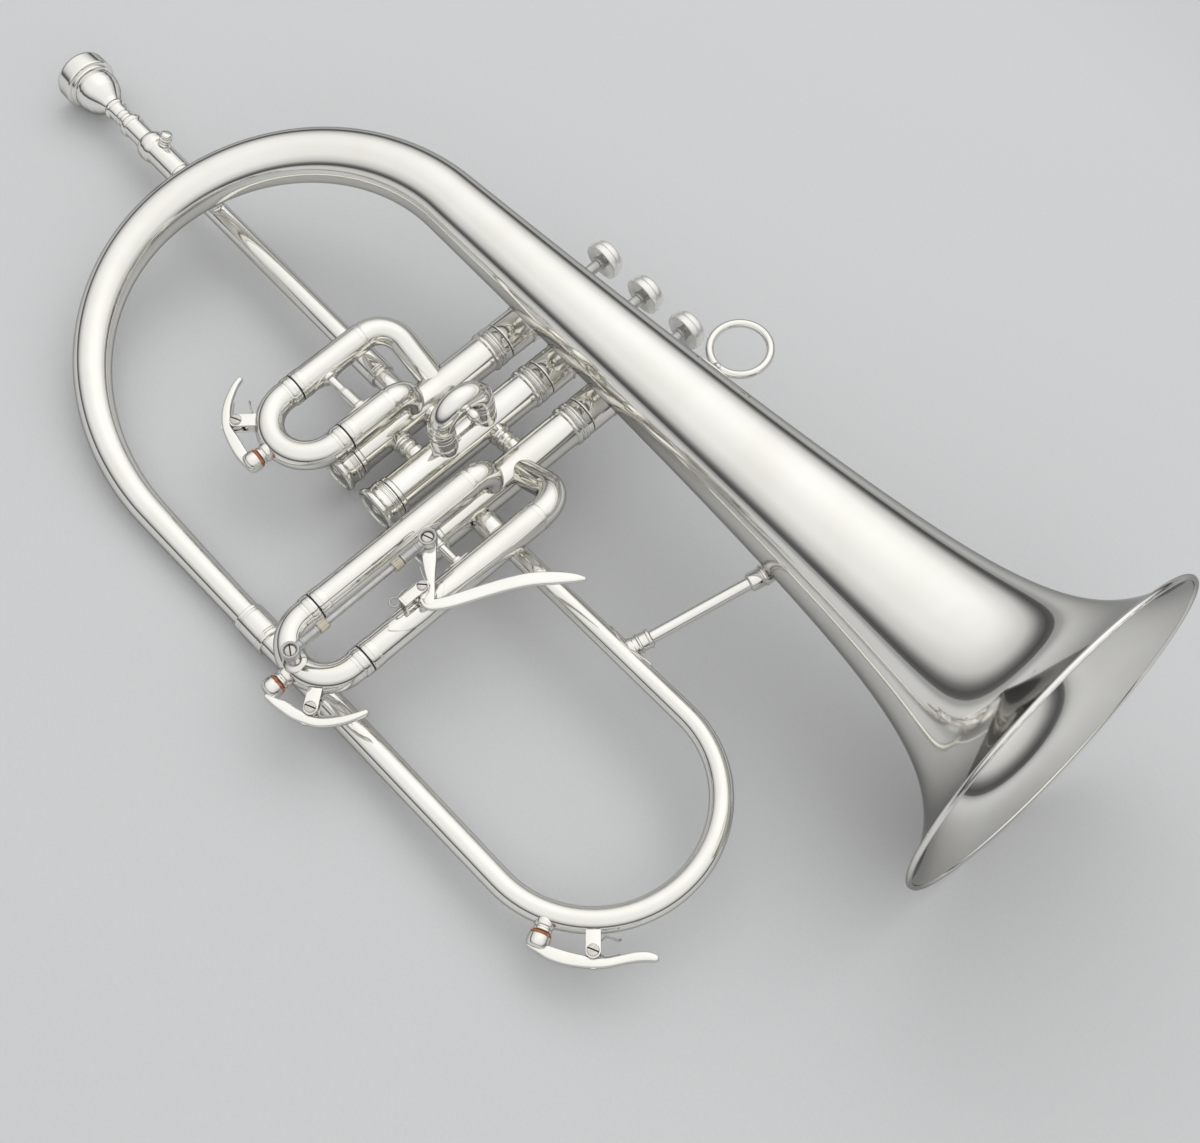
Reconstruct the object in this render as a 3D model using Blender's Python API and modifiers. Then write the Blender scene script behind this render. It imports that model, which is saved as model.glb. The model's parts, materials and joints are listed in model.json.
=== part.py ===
# A flugelhorn lying on its left side, as it is laid down on a bench.
# The horn is laid out in its own frame: x runs forward along the bell's axis from the rim at
# x = 0, y runs up towards the finger buttons, z points to the player's right, which is up here.
# Lengths below are millimetres. Each finished piece is scaled to metres where it is placed.

import math

import bmesh
import bpy
from mathutils import Matrix, Vector

MM = 0.001
FIT_GAP = 0.3
WALL = 0.9
SINK = 0.7
CUT_SPARE = 2.0
STEP_LENGTH = 0.2
SHAVE = 0.98

# Bell and bow
BELL_RIM_RADIUS = 78.0
BELL_FLARE_OFFSET = 8.0
BELL_FLARE_POWER = 0.389
BELL_TAPER_START = 120.0
BELL_BACK_TAPER = 0.017
BELL_LENGTH = 341.0
BELL_WALL = 1.0
BELL_SIDES = 24
FLARE_STEPS = 17
FLARE_CROWDING = 2.6
BOW_STEPS = 14
TAIL_STEPS = 4
RIM_BEAD_WIDTH = 3.2
RIM_BEAD_DEPTH = 2.2
BOW_REACH = 432.0
BOW_MIDDLE_Y = -88.0
BOW_END_X = -325.0
BOW_TAPER_POWER = 1.4
TAIL_Y = -182.0
TAIL_RADIUS = 5.9
TAIL_END_X = -253.0
TAIL_FERRULE_LENGTH = 16.0
FERRULE_WALL = 0.9

# Layer of the valves, the leadpipe and the lower bow, and the layer of the slides
VALVE_Z = -30.0
SLIDE_Z = -12.0

# Lower bow
LOWER_BEND_X = -107.0
RETURN_Y = -84.0
LOWER_BEND_RADIUS = (RETURN_Y - TAIL_Y) / 2
LOWER_BEND_STEPS = 14
OUTLET_RADIUS = 4.2
OUTLET_FERRULE_LENGTH = 12.0
OUTLET_TAPER_ROOM = 0.2

# Valves
VALVE_1_X = -288.5
VALVE_SPACING = 26.0
CASING_RADIUS = 8.2
CASING_WALL = 0.9
CASING_BOTTOM_Y = -104.0
CASING_TOP_Y = -21.0
CASING_RING_RADIUS = 9.4
CASING_RING_LENGTH = 8.0
TOP_CAP_RADIUS = 9.4
TOP_CAP_HEIGHT = 20.0
TOP_CAP_CROWN = 0.6
TOP_CAP_SHOULDER = 0.75
TOP_CAP_ROOF = 0.6
TOP_CAP_ROOF_MIDDLE = 0.7
BOTTOM_CAP_RADIUS = 10.3
BOTTOM_CAP_HEIGHT = 11.0
CAP_WALL = 1.6
CAP_VENT_RADIUS = 2.0
PISTON_TOP_Y = -30.0
PISTON_LENGTH = 58.0
PISTON_WALL = 1.4
STEM_RADIUS = 2.1
BUTTON_RADIUS = 8.9
BUTTON_HEIGHT = 8.0
BUTTON_TOP_Y = 46.0
BUTTON_DISH = 0.6
BUTTON_DISH_DEPTH = 0.06
BUTTON_NECK = 0.72
BUTTON_NECK_DEPTH = 0.25
BUTTON_EDGE_TOP = 0.4
BUTTON_EDGE_BOTTOM = 0.7
BUTTON_COLLAR = 1.6
SPRING_RADIUS = 5.9
SPRING_WALL = 0.9
KNUCKLE_RADIUS = 4.2
KNUCKLE_1_2_LOWER_Y = -84.0
KNUCKLE_1_2_UPPER_Y = -66.0
KNUCKLE_2_3_Y = -52.0

# Leadpipe line, from valve 1 out to the mouthpiece, measured along the pipe from the valve's axis
LEADPIPE_Y = -69.5
LEADPIPE_TILT = math.radians(1.4)
LEADPIPE_RADIUS = 4.9
LEADPIPE_END = 176.0
LEADPIPE_FERRULE_START = 24.0
LEADPIPE_FERRULE_LENGTH = 14.0
SLEEVE_OVERLAP = 10.0
SLEEVE_LENGTH = 30.0
SLEEVE_WALL = 1.0
SLEEVE_BEAD_RADIUS = 7.2
SLEEVE_BEAD_LENGTH = 7.0
SHANK_END = 211.0
SHANK_RING_RADIUS = 5.8
SHANK_RING_LENGTH = 3.0
CLAMP_SCREW_RADIUS = 1.3
CLAMP_HEAD_RADIUS = 2.9
CLAMP_HEAD_LENGTH = 4.0
CLAMP_BEAD_GAP = 3.5
CLAMP_BOSS_HEIGHT = 2.0
CLAMP_BOSS_WALL = 1.2
MOUTHPIECE_LENGTH = 61.0
MOUTHPIECE_RIM_RADIUS = 12.6
MOUTHPIECE_RIM_LENGTH = 8.5
MOUTHPIECE_CUP_RADIUS = 8.4
MOUTHPIECE_CUP_DEPTH = 24.0
MOUTHPIECE_THROAT_RADIUS = 2.1
MOUTHPIECE_INSERT = 20.0
MOUTHPIECE_RIM_ROUND = 1.2
MOUTHPIECE_RIM_STEP = 0.8
MOUTHPIECE_RIM_NECK = 0.9
MOUTHPIECE_BOWL = 0.87
MOUTHPIECE_BOWL_SHARE = 0.62
MOUTHPIECE_BOWL_POWER = 1.3
MOUTHPIECE_BOWL_STEPS = 6
MOUTHPIECE_COLLAR = 0.4
MOUTHPIECE_RING = 1.2
MOUTHPIECE_RING_PITCH = 0.08
MOUTHPIECE_END_WALL = 0.8
MOUTHPIECE_THROAT_LENGTH = 4.0
MOUTHPIECE_CUP_SHAPE = ((0.55, 0.7), (0.9, 0.3))
MOUTHPIECE_BITE = 2.0

# Valve slides
SLIDE_RADIUS = 6.2
SLIDE_TUBE_WALL = 0.8
SLIDE_FERRULE_RADIUS = 6.6
SLIDE_FERRULE_LENGTH = 5.0
SLIDE_INSERT = 20.0
FIRST_SPAN = 33.0
FIRST_GAP_Y = -104.0
FIRST_STRAIGHT = 6.5
FIRST_FAR_PORT_Y = -55.0
FIRST_NEAR_PORT_Y = -71.0
FIRST_BRACE_Y = -91.0
SECOND_SPAN = 21.4
SECOND_MID_Y = -63.5
SECOND_SLEEVE_LENGTH = 9.5
SECOND_RADIUS = 5.6
SECOND_INSERT = 7.5
SECOND_KNOB_RADIUS = 2.6
SECOND_KNOB_STEM = 1.6
SECOND_KNOB_STEM_RADIUS = 1.4
SECOND_ARC_RISE = 1.0
THIRD_SPAN = 31.0
THIRD_GAP_Y = -162.5
THIRD_STRAIGHT = 6.5
THIRD_FAR_PORT_Y = -58.0
THIRD_NEAR_PORT_Y = -72.0
THIRD_BRACE_Y = -109.5
ELBOW_RADIUS = 9.0
PORT_BEND_RADIUS = 13.0
BRACE_RADIUS = 1.7
BRACE_FLANGE_RADIUS = 3.6
BRACE_FLANGE_LENGTH = 1.6

# Third-slide trigger
LEVER_PIVOT_Y = -129.5
LEVER_PIVOT_INSET = 2.0
LEVER_ARM_X = -14.0
LEVER_ARM_Y = 15.0
LEVER_TIP_X = 42.0
LEVER_TIP_Y = 50.0
LEVER_THICKNESS = 2.5
LEVER_WIDTH = 5.0
LEVER_Z = -0.5
LEVER_ELBOW_X = 18.9
LEVER_ELBOW_Y = 15.0
LEVER_HUB = 0.7
LEVER_JOINT = 0.52
LEVER_SCREW_HEAD = 0.6
PIVOT_PIN_RADIUS = 1.3
SADDLE_LENGTH = 24.0
SADDLE_WIDTH = 7.0
SADDLE_THICKNESS = 1.6
SADDLE_HOLE_FLOOR = 0.8
ROD_RADIUS = 1.4
ROD_EYE_RADIUS = 4.0
ROD_EYE_THICKNESS = 3.0
ROD_END_PLAY = 1.2
ROD_NUT_RADIUS = 2.8
ROD_NUT_LENGTH = 5.0
ROD_NUT_INSET = 16.0
ROD_CAP_RADIUS = 3.6
ROD_POST_CAP_RADIUS = 3.2
ROD_POST_RADIUS = 2.6
SCREW_HEAD_LENGTH = 1.2

# Water keys
KEY_PIVOT_HEIGHT = 7.5
KEY_NIPPLE_RADIUS = 2.4
KEY_NIPPLE_HEIGHT = 3.0
KEY_CORK_RADIUS = 2.7
KEY_CORK_LENGTH = 2.2
KEY_CUP_RADIUS = 3.4
KEY_CUP_LENGTH = 3.6
KEY_PLATE = 2.4
KEY_BAR_WIDTH = 3.0
KEY_BOSS_RADIUS = 2.7
KEY_PIN_RADIUS = 1.05
KEY_EAR_THICKNESS = 1.2
KEY_EAR_WIDTH = 4.0
KEY_KNEE_HEIGHT = 10.0
KEY_FINGER_REACH = 16.0
KEY_KNEE_ROUND = 0.52
KEY_PIN_TAIL = 0.9

# Braces and finger ring
BELL_BRACE_FOOT_X = -143.8
BELL_BRACE_HEAD = (-124.8, -17.0, -20.0)
BELL_BRACE_RADIUS = 2.6
BELL_BRACE_SOCKET_RADIUS = 3.7
BELL_BRACE_SOCKET_LENGTH = 10.0
BELL_BRACE_FLANGE_RADIUS = 4.6
BELL_BRACE_CUT_REACH = 20.0
BELL_BRACE_CUT_STEPS = 4
LEADPIPE_BRACE_DISTANCE = 142.0
LEADPIPE_BRACE_SEAT = 1.0
BOW_SEARCH_STEPS = 400
FINGER_RING_X = -200.0
FINGER_RING_RADIUS = 11.9
FINGER_RING_WIRE = 1.6
FINGER_SADDLE_LENGTH = 24.0
FINGER_SADDLE_WIDTH = 9.0
FINGER_SADDLE_HEIGHT = 2.4
FINGER_RING_SEAT = 0.4

for old in list(bpy.data.objects):
    bpy.data.objects.remove(old)

parts = bpy.data.collections.new("flugelhorn")
bpy.context.scene.collection.children.link(parts)
horn = bpy.data.objects.new("horn_frame", None)
parts.objects.link(horn)

X_AXIS = Vector((1.0, 0.0, 0.0))
Y_AXIS = Vector((0.0, 1.0, 0.0))
Z_AXIS = Vector((0.0, 0.0, 1.0))


def material(name, colour, metallic, roughness):
    made = bpy.data.materials.new(name)
    made.use_nodes = True
    shader = made.node_tree.nodes["Principled BSDF"]
    shader.inputs["Base Color"].default_value = (*colour, 1.0)
    shader.inputs["Metallic"].default_value = metallic
    shader.inputs["Roughness"].default_value = roughness
    return made


SILVER = material("silver_plate", (0.92, 0.91, 0.87), 1.0, 0.08)
NICKEL = material("nickel", (0.72, 0.70, 0.66), 1.0, 0.2)
SATIN = material("satin_steel", (0.60, 0.60, 0.60), 1.0, 0.35)
CORK = material("cork", (0.45, 0.20, 0.11), 0.0, 0.8)
PEARL = material("pearl_silver", (0.88, 0.87, 0.84), 1.0, 0.25)


# Modelling tools

def cleaned(mesh):
    work = bmesh.new()
    work.from_mesh(mesh)
    bmesh.ops.remove_doubles(work, verts=work.verts, dist=0.0005)
    bmesh.ops.recalc_face_normals(work, faces=work.faces)
    work.to_mesh(mesh)
    work.free()
    return mesh


def evaluated(source):
    # The mesh that an object's curve or modifiers give; the object itself is dropped.
    graph = bpy.context.evaluated_depsgraph_get()
    mesh = cleaned(bpy.data.meshes.new_from_object(source.evaluated_get(graph)))
    bpy.data.objects.remove(source)
    made = bpy.data.objects.new("shape", mesh)
    parts.objects.link(made)
    return made


def sweep(points, radius, sides=12, caps=True):
    curve = bpy.data.curves.new("sweep", "CURVE")
    curve.dimensions = "3D"
    curve.bevel_depth = 1.0
    curve.bevel_resolution = (sides - 4) // 2
    curve.use_fill_caps = caps
    spline = curve.splines.new("POLY")
    spline.points.add(len(points) - 1)
    radii = radius if isinstance(radius, list) else [radius] * len(points)
    for knot, place, size in zip(spline.points, points, radii):
        knot.co = (*place, 1.0)
        knot.radius = size
    source = bpy.data.objects.new("sweep", curve)
    parts.objects.link(source)
    return evaluated(source)


def pipe(points, radius, wall, sides=12):
    made = sweep(points, radius, sides, caps=False)
    shell = made.modifiers.new("wall", "SOLIDIFY")
    shell.thickness = wall
    shell.offset = -1.0
    shell.use_even_offset = True
    return evaluated(made)


def facing(start, direction):
    turn = Vector(direction).to_track_quat("Z", "Y").to_matrix().to_4x4()
    return Matrix.Translation(start) @ turn


def turned(profile, start, direction, steps=14, closed=False):
    # A profile of (radius, distance along the axis) spun about the axis.
    mesh = bpy.data.meshes.new("profile")
    count = len(profile)
    edges = [(i, i + 1) for i in range(count - 1)]
    if closed:
        edges.append((count - 1, 0))
    mesh.from_pydata([(r, 0.0, h) for r, h in profile], edges, [])
    made = bpy.data.objects.new("profile", mesh)
    parts.objects.link(made)
    screw = made.modifiers.new("spin", "SCREW")
    screw.steps = steps
    screw.render_steps = steps
    screw.use_merge_vertices = True
    screw.merge_threshold = 0.0001
    made = evaluated(made)
    made.data.transform(facing(start, direction))
    return made


def rod(start, end, radius, steps=10):
    reach = Vector(end) - Vector(start)
    return turned([(0, reach.length), (radius, reach.length), (radius, 0), (0, 0)], start, reach, steps)


def ring(start, direction, inner, outer, length, steps=14):
    loop = [(outer, length), (outer, 0), (inner, 0), (inner, length)]
    return turned(loop, start, direction, steps, closed=True)


def box(size, centre, along=X_AXIS):
    # A block whose first side runs along a direction in the xy plane.
    work = bmesh.new()
    bmesh.ops.create_cube(work, size=1.0)
    mesh = bpy.data.meshes.new("box")
    work.to_mesh(mesh)
    work.free()
    turn = Matrix.Rotation(math.atan2(along[1], along[0]), 4, "Z")
    mesh.transform(Matrix.Translation(centre) @ turn @ Matrix.Diagonal((*size, 1.0)))
    made = bpy.data.objects.new("box", mesh)
    parts.objects.link(made)
    return made


def ball(centre, radius):
    work = bmesh.new()
    bmesh.ops.create_uvsphere(work, u_segments=12, v_segments=8, radius=radius)
    mesh = bpy.data.meshes.new("ball")
    work.to_mesh(mesh)
    work.free()
    mesh.transform(Matrix.Translation(centre))
    made = bpy.data.objects.new("ball", mesh)
    parts.objects.link(made)
    return made


def combined(base, tools, operation):
    for tool in tools:
        step = base.modifiers.new("step", "BOOLEAN")
        step.operation = operation
        step.object = tool
        base = evaluated(base)
        bpy.data.objects.remove(tool)
    return base


def joined(base, *tools):
    return combined(base, tools, "UNION")


def cut(base, *tools):
    return combined(base, tools, "DIFFERENCE")


def finish(shape, name, look, origin=(0.0, 0.0, 0.0)):
    # Names a piece, puts its origin where it pivots or slides, and scales it to metres.
    shape.data.transform(Matrix.Translation(-Vector(origin)))
    shape.data.transform(Matrix.Scale(MM, 4))
    shape.name = name
    shape.data.name = name
    shape.location = Vector(origin) * MM
    shape.parent = horn
    shape.data.materials.clear()
    shape.data.materials.append(look)
    shape.data.shade_smooth()
    shape.data.set_sharp_from_angle(angle=math.radians(35))
    return shape


def arc(centre, radius, first, second, start, end, count):
    # Points on a circle, with the angle turning from the first direction to the second.
    points = []
    for i in range(count + 1):
        angle = start + (end - start) * i / count
        points.append(Vector(centre) + radius * (math.cos(angle) * first + math.sin(angle) * second))
    return points


def rounded_path(corners, radius, count=5):
    # A run of straight lines with each inner corner turned into an arc.
    corners = [Vector(c) for c in corners]
    points = [corners[0]]
    for before, corner, after in zip(corners, corners[1:], corners[2:]):
        to_start = (before - corner).normalized()
        to_end = (after - corner).normalized()
        half = to_start.angle(to_end) / 2
        middle = (to_start + to_end).normalized()
        centre = corner + middle * radius / math.sin(half)
        first = (corner + to_start * radius / math.tan(half) - centre).normalized()
        second = (-middle - first * first.dot(-middle)).normalized()
        points += arc(centre, radius, first, second, 0.0, math.pi - 2 * half, count)
    points.append(corners[-1])
    return points


# Bell and bow: one tapering tube from the rim to the tail

def bell_radius(distance):
    flare = BELL_RIM_RADIUS * (1 + distance / BELL_FLARE_OFFSET) ** -BELL_FLARE_POWER
    return flare - BELL_BACK_TAPER * max(0.0, distance - BELL_TAPER_START)


BELL_END_RADIUS = bell_radius(BELL_LENGTH)


def bow_outline(share):
    # Two quarter ellipses: from the bell's end to the far side, and on to the tail.
    angle = math.pi * share
    turn = math.cos(angle)
    if turn > 0:
        start_x = -BELL_LENGTH
        y = BOW_MIDDLE_Y * (1 - turn)
    else:
        start_x = BOW_END_X
        y = BOW_MIDDLE_Y - (TAIL_Y - BOW_MIDDLE_Y) * turn
    return Vector((start_x - (BOW_REACH + start_x) * math.sin(angle), y, 0.0))


BOW_SAMPLES = 60
BOW_RUNS = [0.0]
for i in range(BOW_SAMPLES):
    bow_step = bow_outline((i + 1) / BOW_SAMPLES) - bow_outline(i / BOW_SAMPLES)
    BOW_RUNS.append(BOW_RUNS[-1] + bow_step.length)
TAPER_LENGTH = BOW_RUNS[-1] + TAIL_END_X - BOW_END_X


def bow_run(share):
    place = share * BOW_SAMPLES
    before = min(int(place), BOW_SAMPLES - 1)
    return BOW_RUNS[before] + (BOW_RUNS[before + 1] - BOW_RUNS[before]) * (place - before)


def bow_radius(run):
    share = max(0.0, 1 - run / TAPER_LENGTH)
    return TAIL_RADIUS + (BELL_END_RADIUS - TAIL_RADIUS) * share ** BOW_TAPER_POWER


def bow_height(run):
    # The bow and tail cross from the bell's plane to the valve layer.
    share = min(1.0, run / TAPER_LENGTH)
    return VALVE_Z * share * share * (3 - 2 * share)


def bow_point(share):
    return bow_outline(share) + Z_AXIS * bow_height(bow_run(share))


def make_bell():
    points = []
    radii = []
    for i in range(FLARE_STEPS + 1):
        distance = BELL_LENGTH * (i / FLARE_STEPS) ** FLARE_CROWDING
        points.append(Vector((-distance, 0.0, 0.0)))
        radii.append(bell_radius(distance))
    for i in range(1, BOW_STEPS + 1):
        points.append(bow_point(i / BOW_STEPS))
        radii.append(bow_radius(bow_run(i / BOW_STEPS)))
    for i in range(1, TAIL_STEPS + 1):
        x = BOW_END_X + (TAIL_END_X - BOW_END_X) * i / TAIL_STEPS
        run = BOW_RUNS[-1] + x - BOW_END_X
        points.append(Vector((x, TAIL_Y, bow_height(run))))
        radii.append(bow_radius(run))
    finish(pipe(points, radii, BELL_WALL, sides=BELL_SIDES), "bell", SILVER)
    inner = BELL_RIM_RADIUS - RIM_BEAD_WIDTH
    front = (BELL_WALL + FIT_GAP, 0.0, 0.0)
    bead = ring(front, X_AXIS, inner, BELL_RIM_RADIUS, RIM_BEAD_DEPTH, steps=BELL_SIDES)
    finish(bead, "bell_rim_bead", SILVER)


def make_tail_ferrule():
    start = (TAIL_END_X - TAIL_FERRULE_LENGTH / 2, TAIL_Y, VALVE_Z)
    inner = TAIL_RADIUS + FIT_GAP
    finish(ring(start, X_AXIS, inner, inner + FERRULE_WALL, TAIL_FERRULE_LENGTH), "tail_ferrule", SILVER)


# Lower bow: from the tail ferrule round the bottom bend to the third valve

VALVE_3_X = VALVE_1_X + 2 * VALVE_SPACING
BEND_CENTRE = Vector((LOWER_BEND_X, TAIL_Y + LOWER_BEND_RADIUS, VALVE_Z))
OUTLET_X = VALVE_3_X + CASING_RADIUS + FIT_GAP


def lower_bow_points():
    start = Vector((TAIL_END_X + FIT_GAP, TAIL_Y, VALVE_Z))
    end = Vector((OUTLET_X, RETURN_Y, VALVE_Z))
    bend = arc(BEND_CENTRE, LOWER_BEND_RADIUS, -Y_AXIS, X_AXIS, 0.0, math.pi, LOWER_BEND_STEPS)
    return [start, *bend, end]


def make_lower_bow():
    points = lower_bow_points()
    runs = [0.0]
    for a, b in zip(points, points[1:]):
        runs.append(runs[-1] + (b - a).length)
    radii = [TAIL_RADIUS + (OUTLET_RADIUS - TAIL_RADIUS) * run / runs[-1] for run in runs]
    bow = pipe(points, radii, WALL)
    share = lower_bend_share(LOWER_KEY["cork"])
    index = 1 + share * LOWER_BEND_STEPS
    tube = radii[math.floor(index)]
    bow = joined(bow, key_nipple(BEND_CENTRE, LOWER_BEND_RADIUS, tube, LOWER_KEY))
    finish(bow, "lower_bow", SILVER)
    inner = OUTLET_RADIUS + FIT_GAP + OUTLET_TAPER_ROOM
    place = (OUTLET_X, RETURN_Y, VALVE_Z)
    ferrule = ring(place, X_AXIS, inner, inner + FERRULE_WALL, OUTLET_FERRULE_LENGTH)
    finish(ferrule, "outlet_ferrule", SILVER)
    return tube


def lower_bend_share(angle):
    return (angle + math.pi / 2) / math.pi


# Valves

def valve_x(number):
    return VALVE_1_X + (number - 1) * VALVE_SPACING


BORE_RADIUS = CASING_RADIUS - CASING_WALL
PISTON_RADIUS = BORE_RADIUS - FIT_GAP
BOTTOM_CAP_FLOOR_Y = CASING_BOTTOM_Y - FIT_GAP - BOTTOM_CAP_HEIGHT
PISTON_BOTTOM_Y = PISTON_TOP_Y - PISTON_LENGTH


def make_valve(number):
    base = Vector((valve_x(number), 0.0, VALVE_Z))

    def at(y):
        return base + Vector((0.0, y, 0.0))

    height = CASING_TOP_Y - CASING_BOTTOM_Y
    casing = turned([
        (CASING_RING_RADIUS, height),
        (CASING_RING_RADIUS, height - CASING_RING_LENGTH),
        (CASING_RADIUS, height - CASING_RING_LENGTH),
        (CASING_RADIUS, CASING_RING_LENGTH),
        (CASING_RING_RADIUS, CASING_RING_LENGTH),
        (CASING_RING_RADIUS, 0),
        (BORE_RADIUS, 0),
        (BORE_RADIUS, height),
    ], at(CASING_BOTTOM_Y), Y_AXIS, closed=True)
    finish(casing, f"valve_casing_{number}", SILVER, at(CASING_BOTTOM_Y))

    hole = STEM_RADIUS + FIT_GAP
    inside = TOP_CAP_RADIUS - CAP_WALL
    cap = turned([
        (hole, TOP_CAP_HEIGHT),
        (TOP_CAP_RADIUS * TOP_CAP_CROWN, TOP_CAP_HEIGHT),
        (TOP_CAP_RADIUS, TOP_CAP_HEIGHT * TOP_CAP_SHOULDER),
        (TOP_CAP_RADIUS, 0),
        (inside, 0),
        (inside, TOP_CAP_HEIGHT * TOP_CAP_ROOF),
        (hole, TOP_CAP_HEIGHT * TOP_CAP_ROOF_MIDDLE),
    ], at(CASING_TOP_Y + FIT_GAP), Y_AXIS, closed=True)
    finish(cap, f"top_cap_{number}", SILVER, at(CASING_TOP_Y + FIT_GAP))

    inside = BOTTOM_CAP_RADIUS - CAP_WALL
    cap = turned([
        (BOTTOM_CAP_RADIUS, BOTTOM_CAP_HEIGHT),
        (BOTTOM_CAP_RADIUS, CAP_WALL),
        (BOTTOM_CAP_RADIUS - CAP_WALL, 0),
        (CAP_VENT_RADIUS, 0),
        (CAP_VENT_RADIUS, CAP_WALL),
        (inside, CAP_WALL),
        (inside, BOTTOM_CAP_HEIGHT),
    ], at(BOTTOM_CAP_FLOOR_Y), Y_AXIS, closed=True)
    finish(cap, f"bottom_cap_{number}", SILVER, at(BOTTOM_CAP_FLOOR_Y))

    inside = PISTON_RADIUS - PISTON_WALL
    piston = turned([
        (0, PISTON_LENGTH),
        (PISTON_RADIUS, PISTON_LENGTH),
        (PISTON_RADIUS, 0),
        (inside, 0),
        (inside, PISTON_LENGTH - 2 * PISTON_WALL),
        (0, PISTON_LENGTH - 2 * PISTON_WALL),
    ], at(PISTON_BOTTOM_Y), Y_AXIS)
    finish(piston, f"piston_{number}", NICKEL, at(PISTON_BOTTOM_Y))

    stem = BUTTON_TOP_Y - BUTTON_HEIGHT - PISTON_TOP_Y - FIT_GAP
    top = stem + BUTTON_HEIGHT
    button = turned([
        (0, top),
        (BUTTON_RADIUS * BUTTON_DISH, top - BUTTON_HEIGHT * BUTTON_DISH_DEPTH),
        (BUTTON_RADIUS * BUTTON_NECK, top - BUTTON_HEIGHT * BUTTON_NECK_DEPTH),
        (BUTTON_RADIUS, top - BUTTON_HEIGHT * BUTTON_EDGE_TOP),
        (BUTTON_RADIUS, top - BUTTON_HEIGHT * BUTTON_EDGE_BOTTOM),
        (STEM_RADIUS * BUTTON_COLLAR, stem),
        (STEM_RADIUS, stem),
        (STEM_RADIUS, 0),
        (0, 0),
    ], at(PISTON_TOP_Y + FIT_GAP), Y_AXIS)
    finish(button, f"finger_button_{number}", PEARL, at(PISTON_TOP_Y + FIT_GAP))

    seat = BOTTOM_CAP_FLOOR_Y + CAP_WALL + FIT_GAP
    length = PISTON_BOTTOM_Y - FIT_GAP - seat
    spring = ring(at(seat), Y_AXIS, SPRING_RADIUS - SPRING_WALL, SPRING_RADIUS, length, steps=12)
    finish(spring, f"valve_spring_{number}", SATIN, at(seat))


def make_knuckles():
    reach = CASING_RADIUS + FIT_GAP
    for name, number, y in (("knuckle_1_2_lower", 1, KNUCKLE_1_2_LOWER_Y),
                            ("knuckle_1_2_upper", 1, KNUCKLE_1_2_UPPER_Y),
                            ("knuckle_2_3", 2, KNUCKLE_2_3_Y)):
        start = Vector((valve_x(number) + reach, y, VALVE_Z))
        end = Vector((valve_x(number + 1) - reach, y, VALVE_Z))
        finish(pipe([start, end], KNUCKLE_RADIUS, WALL), name, SILVER)


# Leadpipe, tuning shank and mouthpiece on one line

LEAD_DIRECTION = Vector((-math.cos(LEADPIPE_TILT), math.sin(LEADPIPE_TILT), 0.0))
LEAD_START = Vector((VALVE_1_X, LEADPIPE_Y, VALVE_Z))
SLEEVE_START = LEADPIPE_END - SLEEVE_OVERLAP
SLEEVE_INNER = LEADPIPE_RADIUS + FIT_GAP
SLEEVE_OUTER = SLEEVE_INNER + SLEEVE_WALL
SHANK_START = LEADPIPE_END + FIT_GAP
SHANK_WALL = 0.9
CLAMP_DIRECTION = Vector((0.0, 0.5, math.sqrt(0.75)))
CLAMP_DISTANCE = SLEEVE_START + SLEEVE_LENGTH - SLEEVE_BEAD_LENGTH - CLAMP_BEAD_GAP


def lead(distance):
    return LEAD_START + distance * LEAD_DIRECTION


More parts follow.
